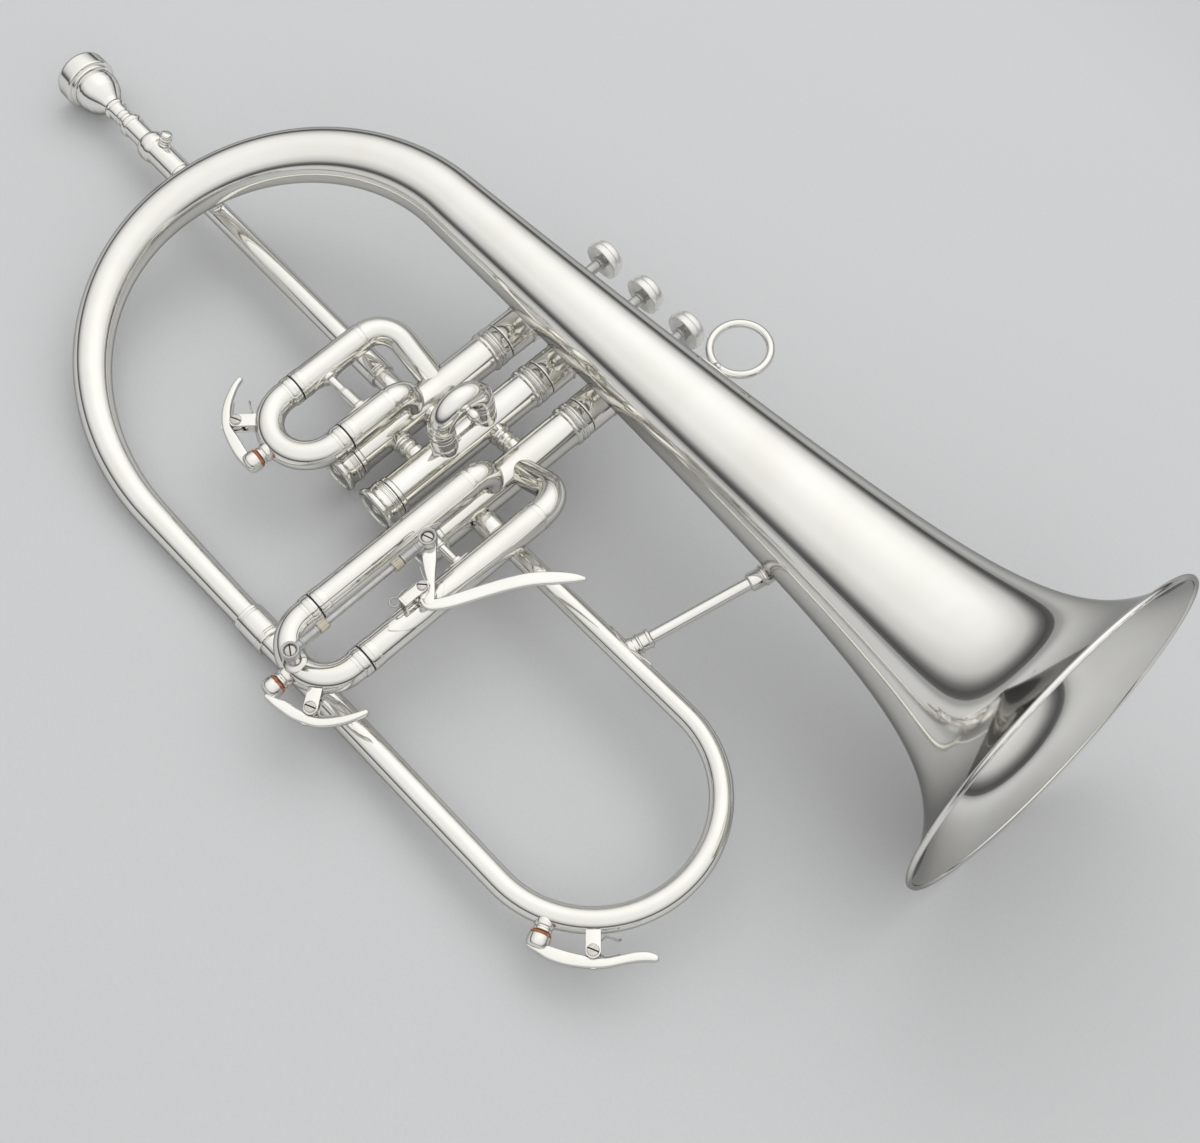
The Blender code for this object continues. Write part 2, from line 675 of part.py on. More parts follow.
def make_leadpipe():
    points = [lead(CASING_RADIUS + FIT_GAP), lead(LEADPIPE_END)]
    finish(pipe(points, LEADPIPE_RADIUS, WALL, sides=14), "leadpipe", SILVER)
    inner = LEADPIPE_RADIUS + FIT_GAP
    ferrule = ring(lead(LEADPIPE_FERRULE_START), LEAD_DIRECTION, inner, inner + FERRULE_WALL,
                   LEADPIPE_FERRULE_LENGTH)
    finish(ferrule, "leadpipe_ferrule", SILVER)

    sleeve = turned([
        (SLEEVE_BEAD_RADIUS, SLEEVE_LENGTH),
        (SLEEVE_BEAD_RADIUS, SLEEVE_LENGTH - SLEEVE_BEAD_LENGTH),
        (SLEEVE_OUTER, SLEEVE_LENGTH - SLEEVE_BEAD_LENGTH),
        (SLEEVE_OUTER, 0),
        (SLEEVE_INNER, 0),
        (SLEEVE_INNER, SLEEVE_LENGTH),
    ], lead(SLEEVE_START), LEAD_DIRECTION, closed=True)
    boss_top = lead(CLAMP_DISTANCE) + CLAMP_DIRECTION * (SLEEVE_OUTER + CLAMP_BOSS_HEIGHT)
    boss_base = lead(CLAMP_DISTANCE) + CLAMP_DIRECTION * (SLEEVE_OUTER - SINK)
    sleeve = joined(sleeve, rod(boss_base, boss_top, CLAMP_SCREW_RADIUS + CLAMP_BOSS_WALL))
    hole_base = lead(CLAMP_DISTANCE) + CLAMP_DIRECTION * CUT_SPARE
    sleeve = cut(sleeve, rod(hole_base, boss_top + CLAMP_DIRECTION, CLAMP_SCREW_RADIUS + FIT_GAP))
    finish(sleeve, "leadpipe_sleeve", SILVER)

    tip = LEADPIPE_RADIUS + FIT_GAP
    head = SLEEVE_OUTER + CLAMP_BOSS_HEIGHT + FIT_GAP - tip
    screw = turned([
        (0, head + CLAMP_HEAD_LENGTH),
        (CLAMP_HEAD_RADIUS, head + CLAMP_HEAD_LENGTH),
        (CLAMP_HEAD_RADIUS, head),
        (CLAMP_SCREW_RADIUS, head),
        (CLAMP_SCREW_RADIUS, 0),
        (0, 0),
    ], lead(CLAMP_DISTANCE) + CLAMP_DIRECTION * tip, CLAMP_DIRECTION, steps=12)
    finish(screw, "clamp_screw", NICKEL, lead(CLAMP_DISTANCE) + CLAMP_DIRECTION * tip)

    length = SHANK_END - SHANK_START
    shank_inner = LEADPIPE_RADIUS - SHANK_WALL
    shank = turned([
        (SHANK_RING_RADIUS, length),
        (SHANK_RING_RADIUS, length - SHANK_RING_LENGTH),
        (LEADPIPE_RADIUS, length - SHANK_RING_LENGTH),
        (LEADPIPE_RADIUS, 0),
        (shank_inner, 0),
        (shank_inner, length),
    ], lead(SHANK_START), LEAD_DIRECTION, closed=True)
    finish(shank, "tuning_shank", SILVER, lead(SHANK_START))


def make_mouthpiece():
    start = SHANK_END - MOUTHPIECE_INSERT
    length = MOUTHPIECE_LENGTH
    rim = MOUTHPIECE_RIM_RADIUS
    shank = LEADPIPE_RADIUS - SHANK_WALL - FIT_GAP
    neck = MOUTHPIECE_INSERT
    cup_end = length - MOUTHPIECE_RIM_LENGTH
    cup_run = cup_end - neck
    bowl_length = cup_run * MOUTHPIECE_BOWL_SHARE
    ring_pitch = cup_run * MOUTHPIECE_RING_PITCH
    collar = shank + MOUTHPIECE_COLLAR
    outer = [
        (rim - MOUTHPIECE_RIM_ROUND, length),
        (rim, length - MOUTHPIECE_RIM_ROUND),
        (rim, cup_end + MOUTHPIECE_RIM_STEP),
        (rim * MOUTHPIECE_RIM_NECK, cup_end),
    ]
    for i in range(1, MOUTHPIECE_BOWL_STEPS):
        share = i / MOUTHPIECE_BOWL_STEPS
        swell = math.cos(share * math.pi / 2) ** MOUTHPIECE_BOWL_POWER
        outer.append((shank + (rim * MOUTHPIECE_BOWL - shank) * swell, cup_end - bowl_length * share))
    outer += [
        (collar, cup_end - bowl_length),
        (shank + MOUTHPIECE_RING, cup_end - bowl_length - ring_pitch),
        (collar, cup_end - bowl_length - 2 * ring_pitch),
        (collar, neck + FIT_GAP),
        (shank, neck + FIT_GAP),
        (shank, 0),
    ]
    bore = MOUTHPIECE_THROAT_RADIUS
    cup = MOUTHPIECE_CUP_RADIUS
    inner = [
        (shank - MOUTHPIECE_END_WALL, 0),
        (bore, length - MOUTHPIECE_CUP_DEPTH - MOUTHPIECE_THROAT_LENGTH),
        (bore, length - MOUTHPIECE_CUP_DEPTH),
        *((cup * width, length - MOUTHPIECE_CUP_DEPTH * depth) for width, depth in MOUTHPIECE_CUP_SHAPE),
        (cup, length - MOUTHPIECE_BITE),
        (cup + MOUTHPIECE_RIM_STEP, length),
    ]
    piece = turned(outer + inner, lead(start), LEAD_DIRECTION, steps=18, closed=True)
    finish(piece, "mouthpiece", SILVER, lead(start))


# Valve slides: fixed sleeves soldered to the casings, and crooks that pull out of them

SLIDE_BORE = SLIDE_RADIUS - SLIDE_TUBE_WALL
SLIDE_INNER = SLIDE_BORE - FIT_GAP


def port(number, y, side):
    # Where a tube that points at the valve's axis meets the casing.
    axis_point = Vector((valve_x(number), y, VALVE_Z))
    outward = (Vector(side) - axis_point).normalized()
    return axis_point + outward * (CASING_RADIUS + FIT_GAP)


def make_long_slide(name, number, direction, span, gap_y, straight, far_y, near_y, brace_y):
    near_x = valve_x(number)
    far_x = near_x + direction * span
    mouth = SLIDE_FERRULE_LENGTH
    far_corner = Vector((far_x, far_y, SLIDE_Z))
    near_corner = Vector((near_x, near_y, SLIDE_Z))
    far_start = Vector((far_x, gap_y, SLIDE_Z))
    near_start = Vector((near_x, gap_y, SLIDE_Z))
    far_path = rounded_path([far_start, far_corner, port(number, far_y, far_corner)], PORT_BEND_RADIUS)
    near_path = rounded_path([near_start, near_corner, port(number, near_y, near_corner)], ELBOW_RADIUS)
    for side, path in (("far", far_path), ("near", near_path)):
        sleeve = pipe(path, SLIDE_RADIUS, SLIDE_TUBE_WALL)
        band_inner = SLIDE_BORE + SLIDE_TUBE_WALL / 2
        band = ring(path[0], Y_AXIS, band_inner, SLIDE_FERRULE_RADIUS, mouth, steps=12)
        finish(joined(sleeve, band), f"{name}_sleeve_{side}", SILVER)

    # The crook: inner legs, ferrules that meet the sleeves, and a half-round bend.
    bend_radius = span / 2
    bend_centre = Vector(((near_x + far_x) / 2, gap_y - straight, SLIDE_Z))
    first = X_AXIS * direction
    half = arc(bend_centre, bend_radius, first, -Y_AXIS, 0.0, math.pi, 10)
    seat = gap_y - FIT_GAP
    legs = [
        (gap_y + SLIDE_INSERT, SLIDE_INNER),
        (seat + STEP_LENGTH, SLIDE_INNER),
        (seat, SLIDE_FERRULE_RADIUS),
        (seat - mouth, SLIDE_FERRULE_RADIUS),
        (seat - mouth - STEP_LENGTH, SLIDE_RADIUS),
    ]
    points = [Vector((far_x, y, SLIDE_Z)) for y, r in legs] + half
    points += [Vector((near_x, y, SLIDE_Z)) for y, r in reversed(legs)]
    radii = [r for y, r in legs] + [SLIDE_RADIUS] * len(half) + [r for y, r in reversed(legs)]
    crook = sweep(points, radii)
    bore_y = legs[0][0] + CUT_SPARE
    bore = [Vector((far_x, bore_y, SLIDE_Z)), *half, Vector((near_x, bore_y, SLIDE_Z))]
    crook = cut(crook, sweep(bore, SLIDE_INNER - SLIDE_TUBE_WALL, sides=10))

    start = Vector((min(near_x, far_x) + SLIDE_RADIUS + FIT_GAP, brace_y, SLIDE_Z))
    end = Vector((max(near_x, far_x) - SLIDE_RADIUS - FIT_GAP, brace_y, SLIDE_Z))
    stay = brace(start, end, BRACE_RADIUS, BRACE_FLANGE_RADIUS, BRACE_FLANGE_LENGTH)
    finish(stay, f"{name}_brace", SILVER)
    return crook, bend_centre, bend_radius


def brace(start, end, radius, flange_radius, flange_length, socket_radius=0.0, socket_length=0.0):
    reach = (end - start).length
    profile = [(0, 0), (flange_radius, 0), (flange_radius, flange_length)]
    if socket_length:
        profile += [(socket_radius, flange_length), (socket_radius, socket_length)]
        profile += [(radius, socket_length), (radius, reach - socket_length)]
        profile += [(socket_radius, reach - socket_length), (socket_radius, reach - flange_length)]
    else:
        profile += [(radius, flange_length), (radius, reach - flange_length)]
    profile += [(flange_radius, reach - flange_length), (flange_radius, reach), (0, reach)]
    return turned(profile, start, end - start, steps=12)


def make_second_slide():
    x = valve_x(2)
    base_z = VALVE_Z + CASING_RADIUS + FIT_GAP
    gap_z = base_z + SECOND_SLEEVE_LENGTH
    bore = SECOND_RADIUS - SLIDE_TUBE_WALL
    inner = bore - FIT_GAP
    low_y = SECOND_MID_Y - SECOND_SPAN / 2
    high_y = SECOND_MID_Y + SECOND_SPAN / 2
    for side, y in (("lower", low_y), ("upper", high_y)):
        path = [Vector((x, y, base_z)), Vector((x, y, gap_z))]
        finish(pipe(path, SECOND_RADIUS, SLIDE_TUBE_WALL), f"second_slide_sleeve_{side}", SILVER)
    seat = gap_z + FIT_GAP
    legs = [(gap_z - SECOND_INSERT, inner), (seat - STEP_LENGTH, inner), (seat, SECOND_RADIUS)]
    arc_centre = (x, SECOND_MID_Y, seat + SECOND_ARC_RISE)
    half = arc(arc_centre, SECOND_SPAN / 2, -Y_AXIS, Z_AXIS, 0.0, math.pi, 8)
    points = [Vector((x, low_y, z)) for z, r in legs] + half
    points += [Vector((x, high_y, z)) for z, r in reversed(legs)]
    radii = [r for z, r in legs] + [SECOND_RADIUS] * len(half) + [r for z, r in reversed(legs)]
    crook = sweep(points, radii)
    core_z = legs[0][0] - CUT_SPARE
    core = [Vector((x, low_y, core_z)), *half, Vector((x, high_y, core_z))]
    crook = cut(crook, sweep(core, inner - SLIDE_TUBE_WALL, sides=10))
    top = half[len(half) // 2]
    side = top + X_AXIS * SECOND_RADIUS
    stub = rod(side - X_AXIS * SINK, side + X_AXIS * (SECOND_KNOB_STEM + STEP_LENGTH + SINK),
               SECOND_KNOB_STEM_RADIUS)
    knob = ball(side + X_AXIS * (SECOND_KNOB_STEM + SECOND_KNOB_RADIUS), SECOND_KNOB_RADIUS)
    crook = joined(crook, joined(stub, knob))
    finish(crook, "second_slide_crook", SILVER, top)


# Water keys: a nipple on the bend, a saddle with its screw, a sprung lever and a cork

FIRST_KEY = {"cork": math.radians(-92), "pivot": math.radians(-132), "finger": math.radians(-168)}
THIRD_KEY = {"cork": math.radians(-90), "pivot": math.radians(-52), "finger": math.radians(-14)}
LOWER_KEY = {"cork": math.radians(-63), "pivot": math.radians(-43), "finger": math.radians(-23)}


def outward(angle):
    return Vector((math.cos(angle), math.sin(angle), 0.0))


def key_nipple(centre, bend_radius, tube, key):
    out = outward(key["cork"])
    base = centre + out * (bend_radius + tube - SINK)
    tip = centre + out * (bend_radius + tube + KEY_NIPPLE_HEIGHT)
    return rod(base, tip, KEY_NIPPLE_RADIUS)


def key_pivot(centre, bend_radius, tube, key):
    return centre + outward(key["pivot"]) * (bend_radius + tube + KEY_PIVOT_HEIGHT)


def make_water_key(name, centre, bend_radius, tube, key):
    pivot = key_pivot(centre, bend_radius, tube, key)
    out = outward(key["pivot"])
    cork_out = outward(key["cork"])
    cork_base = centre + cork_out * (bend_radius + tube + KEY_NIPPLE_HEIGHT + FIT_GAP)
    finish(rod(cork_base, cork_base + cork_out * KEY_CORK_LENGTH, KEY_CORK_RADIUS),
           f"{name}_cork", CORK, pivot)

    cup_base = cork_base + cork_out * (KEY_CORK_LENGTH + FIT_GAP)
    cup_top = cup_base + cork_out * KEY_CUP_LENGTH
    lever = rod(cup_base, cup_top, KEY_CUP_RADIUS)
    cup_middle = cup_base + cork_out * KEY_CUP_LENGTH / 2
    finger = centre + outward(key["finger"]) * (bend_radius + tube + KEY_FINGER_REACH)
    knee_angle = (key["pivot"] + key["cork"]) / 2
    knee = centre + outward(knee_angle) * (bend_radius + tube + KEY_KNEE_HEIGHT)
    half = Z_AXIS * KEY_PLATE / 2
    lever = joined(lever, rod(knee - half * SHAVE, knee + half * SHAVE, KEY_BAR_WIDTH * KEY_KNEE_ROUND))
    for start, end in ((knee, cup_middle), (pivot, knee), (pivot, finger)):
        along = end - start
        lever = joined(lever, box((along.length, KEY_BAR_WIDTH, KEY_PLATE), (start + end) / 2, along))
    boss_half = half * (1 + SHAVE) / 2
    lever = joined(lever, rod(pivot - boss_half, pivot + boss_half, KEY_BOSS_RADIUS))
    lever = cut(lever, rod(pivot - half * 2, pivot + half * 2, KEY_PIN_RADIUS + FIT_GAP))
    finish(lever, f"{name}_lever", SILVER, pivot)

    foot = centre + out * (bend_radius + tube + FIT_GAP)
    gap = KEY_PLATE / 2 + FIT_GAP
    width = 2 * (gap + KEY_EAR_THICKNESS)
    foot_height = KEY_PIVOT_HEIGHT - KEY_BOSS_RADIUS - 2 * FIT_GAP
    saddle = box((foot_height, KEY_EAR_WIDTH, width), foot + out * foot_height / 2, out)
    ear_height = KEY_PIVOT_HEIGHT + KEY_EAR_WIDTH / 2 - FIT_GAP
    for side in (-1, 1):
        middle = foot + out * ear_height / 2 + Z_AXIS * side * (gap + KEY_EAR_THICKNESS / 2)
        ear_size = (ear_height, KEY_EAR_WIDTH * SHAVE, KEY_EAR_THICKNESS * SHAVE)
        saddle = joined(saddle, box(ear_size, middle, out))
    reach = Z_AXIS * (width / 2 + SCREW_HEAD_LENGTH)
    saddle = joined(saddle, rod(pivot - reach * KEY_PIN_TAIL, pivot + reach, KEY_PIN_RADIUS))
    finish(saddle, f"{name}_saddle", SILVER, pivot)


# Third-slide trigger: a finger lever on leg D pushes the slide out through a link rod

def make_trigger(bend_centre, bend_radius):
    leg_x = VALVE_3_X + THIRD_SPAN
    leg_top = SLIDE_Z + SLIDE_RADIUS + FIT_GAP
    pivot = Vector((leg_x - LEVER_PIVOT_INSET, LEVER_PIVOT_Y, LEVER_Z))
    half = LEVER_THICKNESS / 2
    arm = pivot + Vector((LEVER_ARM_X, LEVER_ARM_Y, 0.0))
    tip = pivot + Vector((LEVER_TIP_X, LEVER_TIP_Y, 0.0))
    elbow = pivot + Vector((LEVER_ELBOW_X, LEVER_ELBOW_Y, 0.0))

    lever = rod(pivot - Z_AXIS * half, pivot + Z_AXIS * half, LEVER_WIDTH * LEVER_HUB)
    for start, end in ((pivot, arm), (pivot, elbow), (elbow, tip)):
        along = end - start
        bar = box((along.length, LEVER_WIDTH, LEVER_THICKNESS * SHAVE), (start + end) / 2, along)
        lever = joined(lever, bar)
    for spot in (arm, elbow):
        thick = Z_AXIS * half * SHAVE * SHAVE
        lever = joined(lever, rod(spot - thick, spot + thick, LEVER_WIDTH * LEVER_JOINT))
    pin_top = half + ROD_EYE_THICKNESS + 2 * FIT_GAP
    pin = rod(arm, arm + Z_AXIS * (pin_top + SCREW_HEAD_LENGTH), PIVOT_PIN_RADIUS)
    head = rod(arm + Z_AXIS * pin_top, arm + Z_AXIS * (pin_top + SCREW_HEAD_LENGTH * SHAVE), ROD_CAP_RADIUS)
    lever = joined(lever, joined(pin, head))
    hole = PIVOT_PIN_RADIUS + FIT_GAP
    lever = cut(lever, rod(pivot - Z_AXIS * half * 2, pivot + Z_AXIS * half * 2, hole))
    finish(lever, "trigger_lever", SILVER, pivot)

    # The saddle sits on the sleeve and carries the pivot's post.
    plate_middle = Vector((pivot.x, LEVER_PIVOT_Y - SADDLE_LENGTH / 4, leg_top + SADDLE_THICKNESS / 2))
    saddle = box((SADDLE_WIDTH, SADDLE_LENGTH, SADDLE_THICKNESS), plate_middle)
    post_top = LEVER_Z - half - FIT_GAP
    post_base = leg_top + SADDLE_THICKNESS - SINK
    post = rod(Vector((pivot.x, pivot.y, post_base)), Vector((pivot.x, pivot.y, post_top)), LEVER_WIDTH / 2)
    saddle = joined(saddle, post)
    hole_base = Vector((pivot.x, pivot.y, leg_top + SADDLE_HOLE_FLOOR))
    screw_hole = rod(hole_base, Vector((pivot.x, pivot.y, post_top + CUT_SPARE)), hole)
    finish(cut(saddle, screw_hole), "trigger_saddle", SILVER)

    screw_base = hole_base + Z_AXIS * FIT_GAP
    screw_top = LEVER_Z + half + FIT_GAP - screw_base.z
    screw = turned([
        (0, screw_top + SCREW_HEAD_LENGTH),
        (LEVER_WIDTH * LEVER_SCREW_HEAD, screw_top + SCREW_HEAD_LENGTH),
        (LEVER_WIDTH * LEVER_SCREW_HEAD, screw_top),
        (PIVOT_PIN_RADIUS, screw_top),
        (PIVOT_PIN_RADIUS, 0),
        (0, 0),
    ], screw_base, Z_AXIS, steps=12)
    finish(screw, "trigger_pivot_screw", NICKEL, screw_base)

    # The link rod turns on a post that stands on the crook's bend.
    rod_z = LEVER_Z + half + FIT_GAP + ROD_EYE_THICKNESS / 2
    post_spot = Vector((bend_centre.x, bend_centre.y - bend_radius, rod_z))
    thick = Z_AXIS * ROD_EYE_THICKNESS / 2
    far_eye = Vector((arm.x, arm.y, rod_z))
    link = rod(post_spot, far_eye, ROD_RADIUS)
    along = (far_eye - post_spot).normalized()
    for spot in (post_spot + along * ROD_NUT_INSET, far_eye - along * ROD_NUT_INSET):
        nut = rod(spot - along * ROD_NUT_LENGTH / 2, spot + along * ROD_NUT_LENGTH / 2, ROD_NUT_RADIUS)
        link = joined(link, nut)
    for spot in (post_spot, far_eye):
        link = joined(link, rod(spot - thick, spot + thick, ROD_EYE_RADIUS))
    post_hole = PIVOT_PIN_RADIUS + FIT_GAP
    link = cut(link, rod(post_spot - thick * 2, post_spot + thick * 2, post_hole))
    link = cut(link, rod(far_eye - thick * 2, far_eye + thick * 2, PIVOT_PIN_RADIUS + ROD_END_PLAY))
    finish(link, "trigger_link_rod", SATIN, post_spot)
    return post_spot


def crook_post(post_spot):
    base = Vector((post_spot.x, post_spot.y, SLIDE_Z + SLIDE_RADIUS - SINK))
    shoulder = post_spot - Z_AXIS * (ROD_EYE_THICKNESS / 2 + FIT_GAP)
    top = post_spot + Z_AXIS * (ROD_EYE_THICKNESS / 2 + FIT_GAP)
    pin = rod(shoulder - Z_AXIS * SINK, top + Z_AXIS * SINK, PIVOT_PIN_RADIUS)
    post = joined(rod(base, shoulder, ROD_POST_RADIUS), pin)
    return joined(post, rod(top, top + Z_AXIS * SCREW_HEAD_LENGTH, ROD_POST_CAP_RADIUS))


# Braces and finger ring

def make_bell_brace(return_radius):
    # The upper socket is cut to the bell's slanting side.
    leg = Vector((BELL_BRACE_FOOT_X, RETURN_Y, VALVE_Z))
    head = Vector(BELL_BRACE_HEAD)
    along = (head - leg).normalized()
    start = leg + along * (return_radius + 2 * FIT_GAP)
    made = brace(start, head + along * BELL_BRACE_FLANGE_RADIUS, BELL_BRACE_RADIUS, BELL_BRACE_FLANGE_RADIUS,
                 BRACE_FLANGE_LENGTH, BELL_BRACE_SOCKET_RADIUS, BELL_BRACE_SOCKET_LENGTH)
    spacing = 2 * BELL_BRACE_CUT_REACH / BELL_BRACE_CUT_STEPS
    distances = [BELL_BRACE_CUT_REACH - head.x - spacing * i for i in range(BELL_BRACE_CUT_STEPS + 1)]
    points = [Vector((-d, 0.0, 0.0)) for d in distances]
    radii = [bell_radius(d) + 2 * FIT_GAP for d in distances]
    finish(cut(made, sweep(points, radii, sides=BELL_SIDES)), "bell_brace", SILVER)


def make_leadpipe_brace():
    spot = lead(LEADPIPE_BRACE_DISTANCE)
    shares = [i / BOW_SEARCH_STEPS for i in range(BOW_SEARCH_STEPS)]
    share = min(shares, key=lambda at: (bow_point(at) - spot).length)
    above = bow_point(share)
    along = (above - spot).normalized()
    room = LEADPIPE_RADIUS + FIT_GAP
    start = spot + along * (room - LEADPIPE_BRACE_SEAT)
    end = above - along * (bow_radius(bow_run(share)) + FIT_GAP)
    made = brace(start, end, BRACE_RADIUS, BRACE_FLANGE_RADIUS, BRACE_FLANGE_LENGTH)
    # The foot is cut to the pipe, at whatever slant it meets it.
    reach = 2 * BRACE_FLANGE_RADIUS + LEADPIPE_RADIUS
    pipe_room = rod(spot - LEAD_DIRECTION * reach, spot + LEAD_DIRECTION * reach, room, steps=14)
    finish(cut(made, pipe_room), "leadpipe_brace", SILVER)


def make_finger_ring():
    surface = bell_radius(-FINGER_RING_X - FINGER_SADDLE_LENGTH / 2)
    base_y = surface + FIT_GAP
    saddle = box((FINGER_SADDLE_LENGTH, FINGER_SADDLE_HEIGHT, FINGER_SADDLE_WIDTH),
                 (FINGER_RING_X, base_y + FINGER_SADDLE_HEIGHT / 2, 0.0))
    ring_y = base_y + FINGER_SADDLE_HEIGHT + FINGER_RING_RADIUS + FINGER_RING_WIRE * FINGER_RING_SEAT
    centre = Vector((FINGER_RING_X, ring_y, 0.0))
    wire = [(FINGER_RING_RADIUS + FINGER_RING_WIRE * math.cos(a), FINGER_RING_WIRE * math.sin(a))
            for a in (math.pi / 4 * i for i in range(8))]
    hoop = turned(wire, centre, Z_AXIS, steps=20, closed=True)
    finish(joined(saddle, hoop), "finger_ring", SILVER)


# Lying at rest: the face of the whole horn's hull that the centre of mass stands over

def mesh_points():
    points = []
    weights = []
    centres = []
    for piece in parts.objects:
        if piece.type != "MESH":
            continue
        work = bmesh.new()
        work.from_mesh(piece.data)
        bmesh.ops.triangulate(work, faces=work.faces)
        for face in work.faces:
            a, b, c = (v.co + piece.location for v in face.verts)
            weight = a.dot(b.cross(c)) / 6
            weights.append(weight)
            centres.append((a + b + c) / 4)
        points += [v.co + piece.location for v in work.verts]
        work.free()
    total = sum(weights)
    middle = sum((c * w for c, w in zip(centres, weights)), Vector()) / total
    return points, middle


def resting_matrix():
    points, middle = mesh_points()
    work = bmesh.new()
    for point in points:
        work.verts.new(point)
    bmesh.ops.convex_hull(work, input=work.verts)
    bmesh.ops.triangulate(work, faces=work.faces)
    best = None
    for face in work.faces:
        normal = face.normal.copy()
        if normal.z > -0.7:
            continue
        corners = [v.co for v in face.verts]
        foot = middle - normal * (middle - corners[0]).dot(normal)
        sides = [(q - p).cross(foot - p).dot(normal) for p, q in zip(corners, corners[1:] + corners[:1])]
        if min(sides) >= 0:
            best = normal
    work.free()
    down = best.rotation_difference(-Z_AXIS).to_matrix()
    forward = down @ X_AXIS
    level = Matrix.Rotation(-math.atan2(forward.y, forward.x), 3, "Z") @ down
    laid = [level @ p for p in points]
    low = Vector((min(p.x for p in laid), min(p.y for p in laid), min(p.z for p in laid)))
    high = Vector((max(p.x for p in laid), max(p.y for p in laid), low.z))
    return Matrix.Translation(-(low + high) / 2) @ level.to_4x4()


make_bell()
make_tail_ferrule()
lower_tube = make_lower_bow()
for valve in (1, 2, 3):
    make_valve(valve)
make_knuckles()
make_leadpipe()
make_mouthpiece()

first = make_long_slide("first_slide", 1, -1, FIRST_SPAN, FIRST_GAP_Y, FIRST_STRAIGHT,
                        FIRST_FAR_PORT_Y, FIRST_NEAR_PORT_Y, FIRST_BRACE_Y)
crook = joined(first[0], key_nipple(first[1], first[2], SLIDE_RADIUS, FIRST_KEY))
finish(crook, "first_slide_crook", SILVER, first[1])
make_water_key("first_key", first[1], first[2], SLIDE_RADIUS, FIRST_KEY)

make_second_slide()

third = make_long_slide("third_slide", 3, 1, THIRD_SPAN, THIRD_GAP_Y, THIRD_STRAIGHT,
                        THIRD_FAR_PORT_Y, THIRD_NEAR_PORT_Y, THIRD_BRACE_Y)
trigger_post = make_trigger(third[1], third[2])
crook = joined(third[0], key_nipple(third[1], third[2], SLIDE_RADIUS, THIRD_KEY), crook_post(trigger_post))
finish(crook, "third_slide_crook", SILVER, third[1])
make_water_key("third_key", third[1], third[2], SLIDE_RADIUS, THIRD_KEY)
make_water_key("lower_key", BEND_CENTRE, LOWER_BEND_RADIUS, lower_tube, LOWER_KEY)

make_bell_brace(lower_tube)
make_leadpipe_brace()
make_finger_ring()

horn.matrix_world = resting_matrix()
bpy.context.view_layer.update()
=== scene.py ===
import json
import math

import bpy
from mathutils import Matrix, Vector


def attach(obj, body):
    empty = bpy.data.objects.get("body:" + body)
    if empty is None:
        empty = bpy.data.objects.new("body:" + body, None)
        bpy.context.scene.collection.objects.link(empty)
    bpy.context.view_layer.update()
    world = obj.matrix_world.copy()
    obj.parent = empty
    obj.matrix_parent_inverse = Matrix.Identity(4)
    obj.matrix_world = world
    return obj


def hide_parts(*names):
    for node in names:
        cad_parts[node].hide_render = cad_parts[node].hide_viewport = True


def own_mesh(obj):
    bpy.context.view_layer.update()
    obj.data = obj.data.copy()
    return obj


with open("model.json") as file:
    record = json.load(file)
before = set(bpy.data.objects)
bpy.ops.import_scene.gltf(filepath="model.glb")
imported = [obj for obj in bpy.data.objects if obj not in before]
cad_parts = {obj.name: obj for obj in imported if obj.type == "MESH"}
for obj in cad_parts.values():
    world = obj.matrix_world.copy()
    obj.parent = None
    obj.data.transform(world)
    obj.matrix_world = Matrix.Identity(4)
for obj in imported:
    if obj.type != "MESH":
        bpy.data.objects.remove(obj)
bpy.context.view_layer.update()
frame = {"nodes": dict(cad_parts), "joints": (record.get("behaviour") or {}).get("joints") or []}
joints = {joint["name"]: joint for joint in frame["joints"]}

# the horn's own millimetre axes: x along the bell, y towards the finger buttons, z out of the slides
hornUp = -Vector(joints["valve_1_press"]["axis"]).normalized()
hornOut = Vector(joints["second_slide_pull"]["axis"])
hornOut = (hornOut - hornUp * hornOut.dot(hornUp)).normalized()
hornTurn = Matrix((hornUp.cross(hornOut), hornUp, hornOut)).transposed()
triggerPivot = Vector((-207.5, -129.5, -0.5))
hornOrigin = Vector(joints["trigger_squeeze"]["pos_m"]) - hornTurn @ (triggerPivot * 0.001)
hornPlace = Matrix.Translation(hornOrigin) @ hornTurn.to_4x4() @ Matrix.Scale(0.001, 4)
xAxis, yAxis, zAxis = Vector((1, 0, 0)), Vector((0, 1, 0)), Vector((0, 0, 1))


def clearPick():
    if bpy.context.mode != "OBJECT":
        bpy.ops.object.mode_set(mode="OBJECT")
    bpy.ops.object.select_all(action="DESELECT")


def pick(*pieces):
    clearPick()
    for piece in pieces:
        piece.select_set(True)
    bpy.context.view_layer.objects.active = pieces[0]
    return pieces[0]


def cleanUp(piece, gap=0.0005):
    pick(piece)
    bpy.ops.object.mode_set(mode="EDIT")
    bpy.ops.mesh.select_all(action="SELECT")
    bpy.ops.mesh.remove_doubles(threshold=gap)
    bpy.ops.mesh.normals_make_consistent(inside=False)
    bpy.ops.object.mode_set(mode="OBJECT")
    return piece


def applyChange(piece, kind, **settings):
    pick(piece)
    change = piece.modifiers.new(kind.lower(), kind)
    for name, value in settings.items():
        setattr(change, name, value)
    bpy.ops.object.modifier_apply(modifier=change.name)
    return piece


def putAt(piece, place):
    pick(piece)
    piece.matrix_world = place
    bpy.ops.object.transform_apply(location=True, rotation=True, scale=True)
    return piece


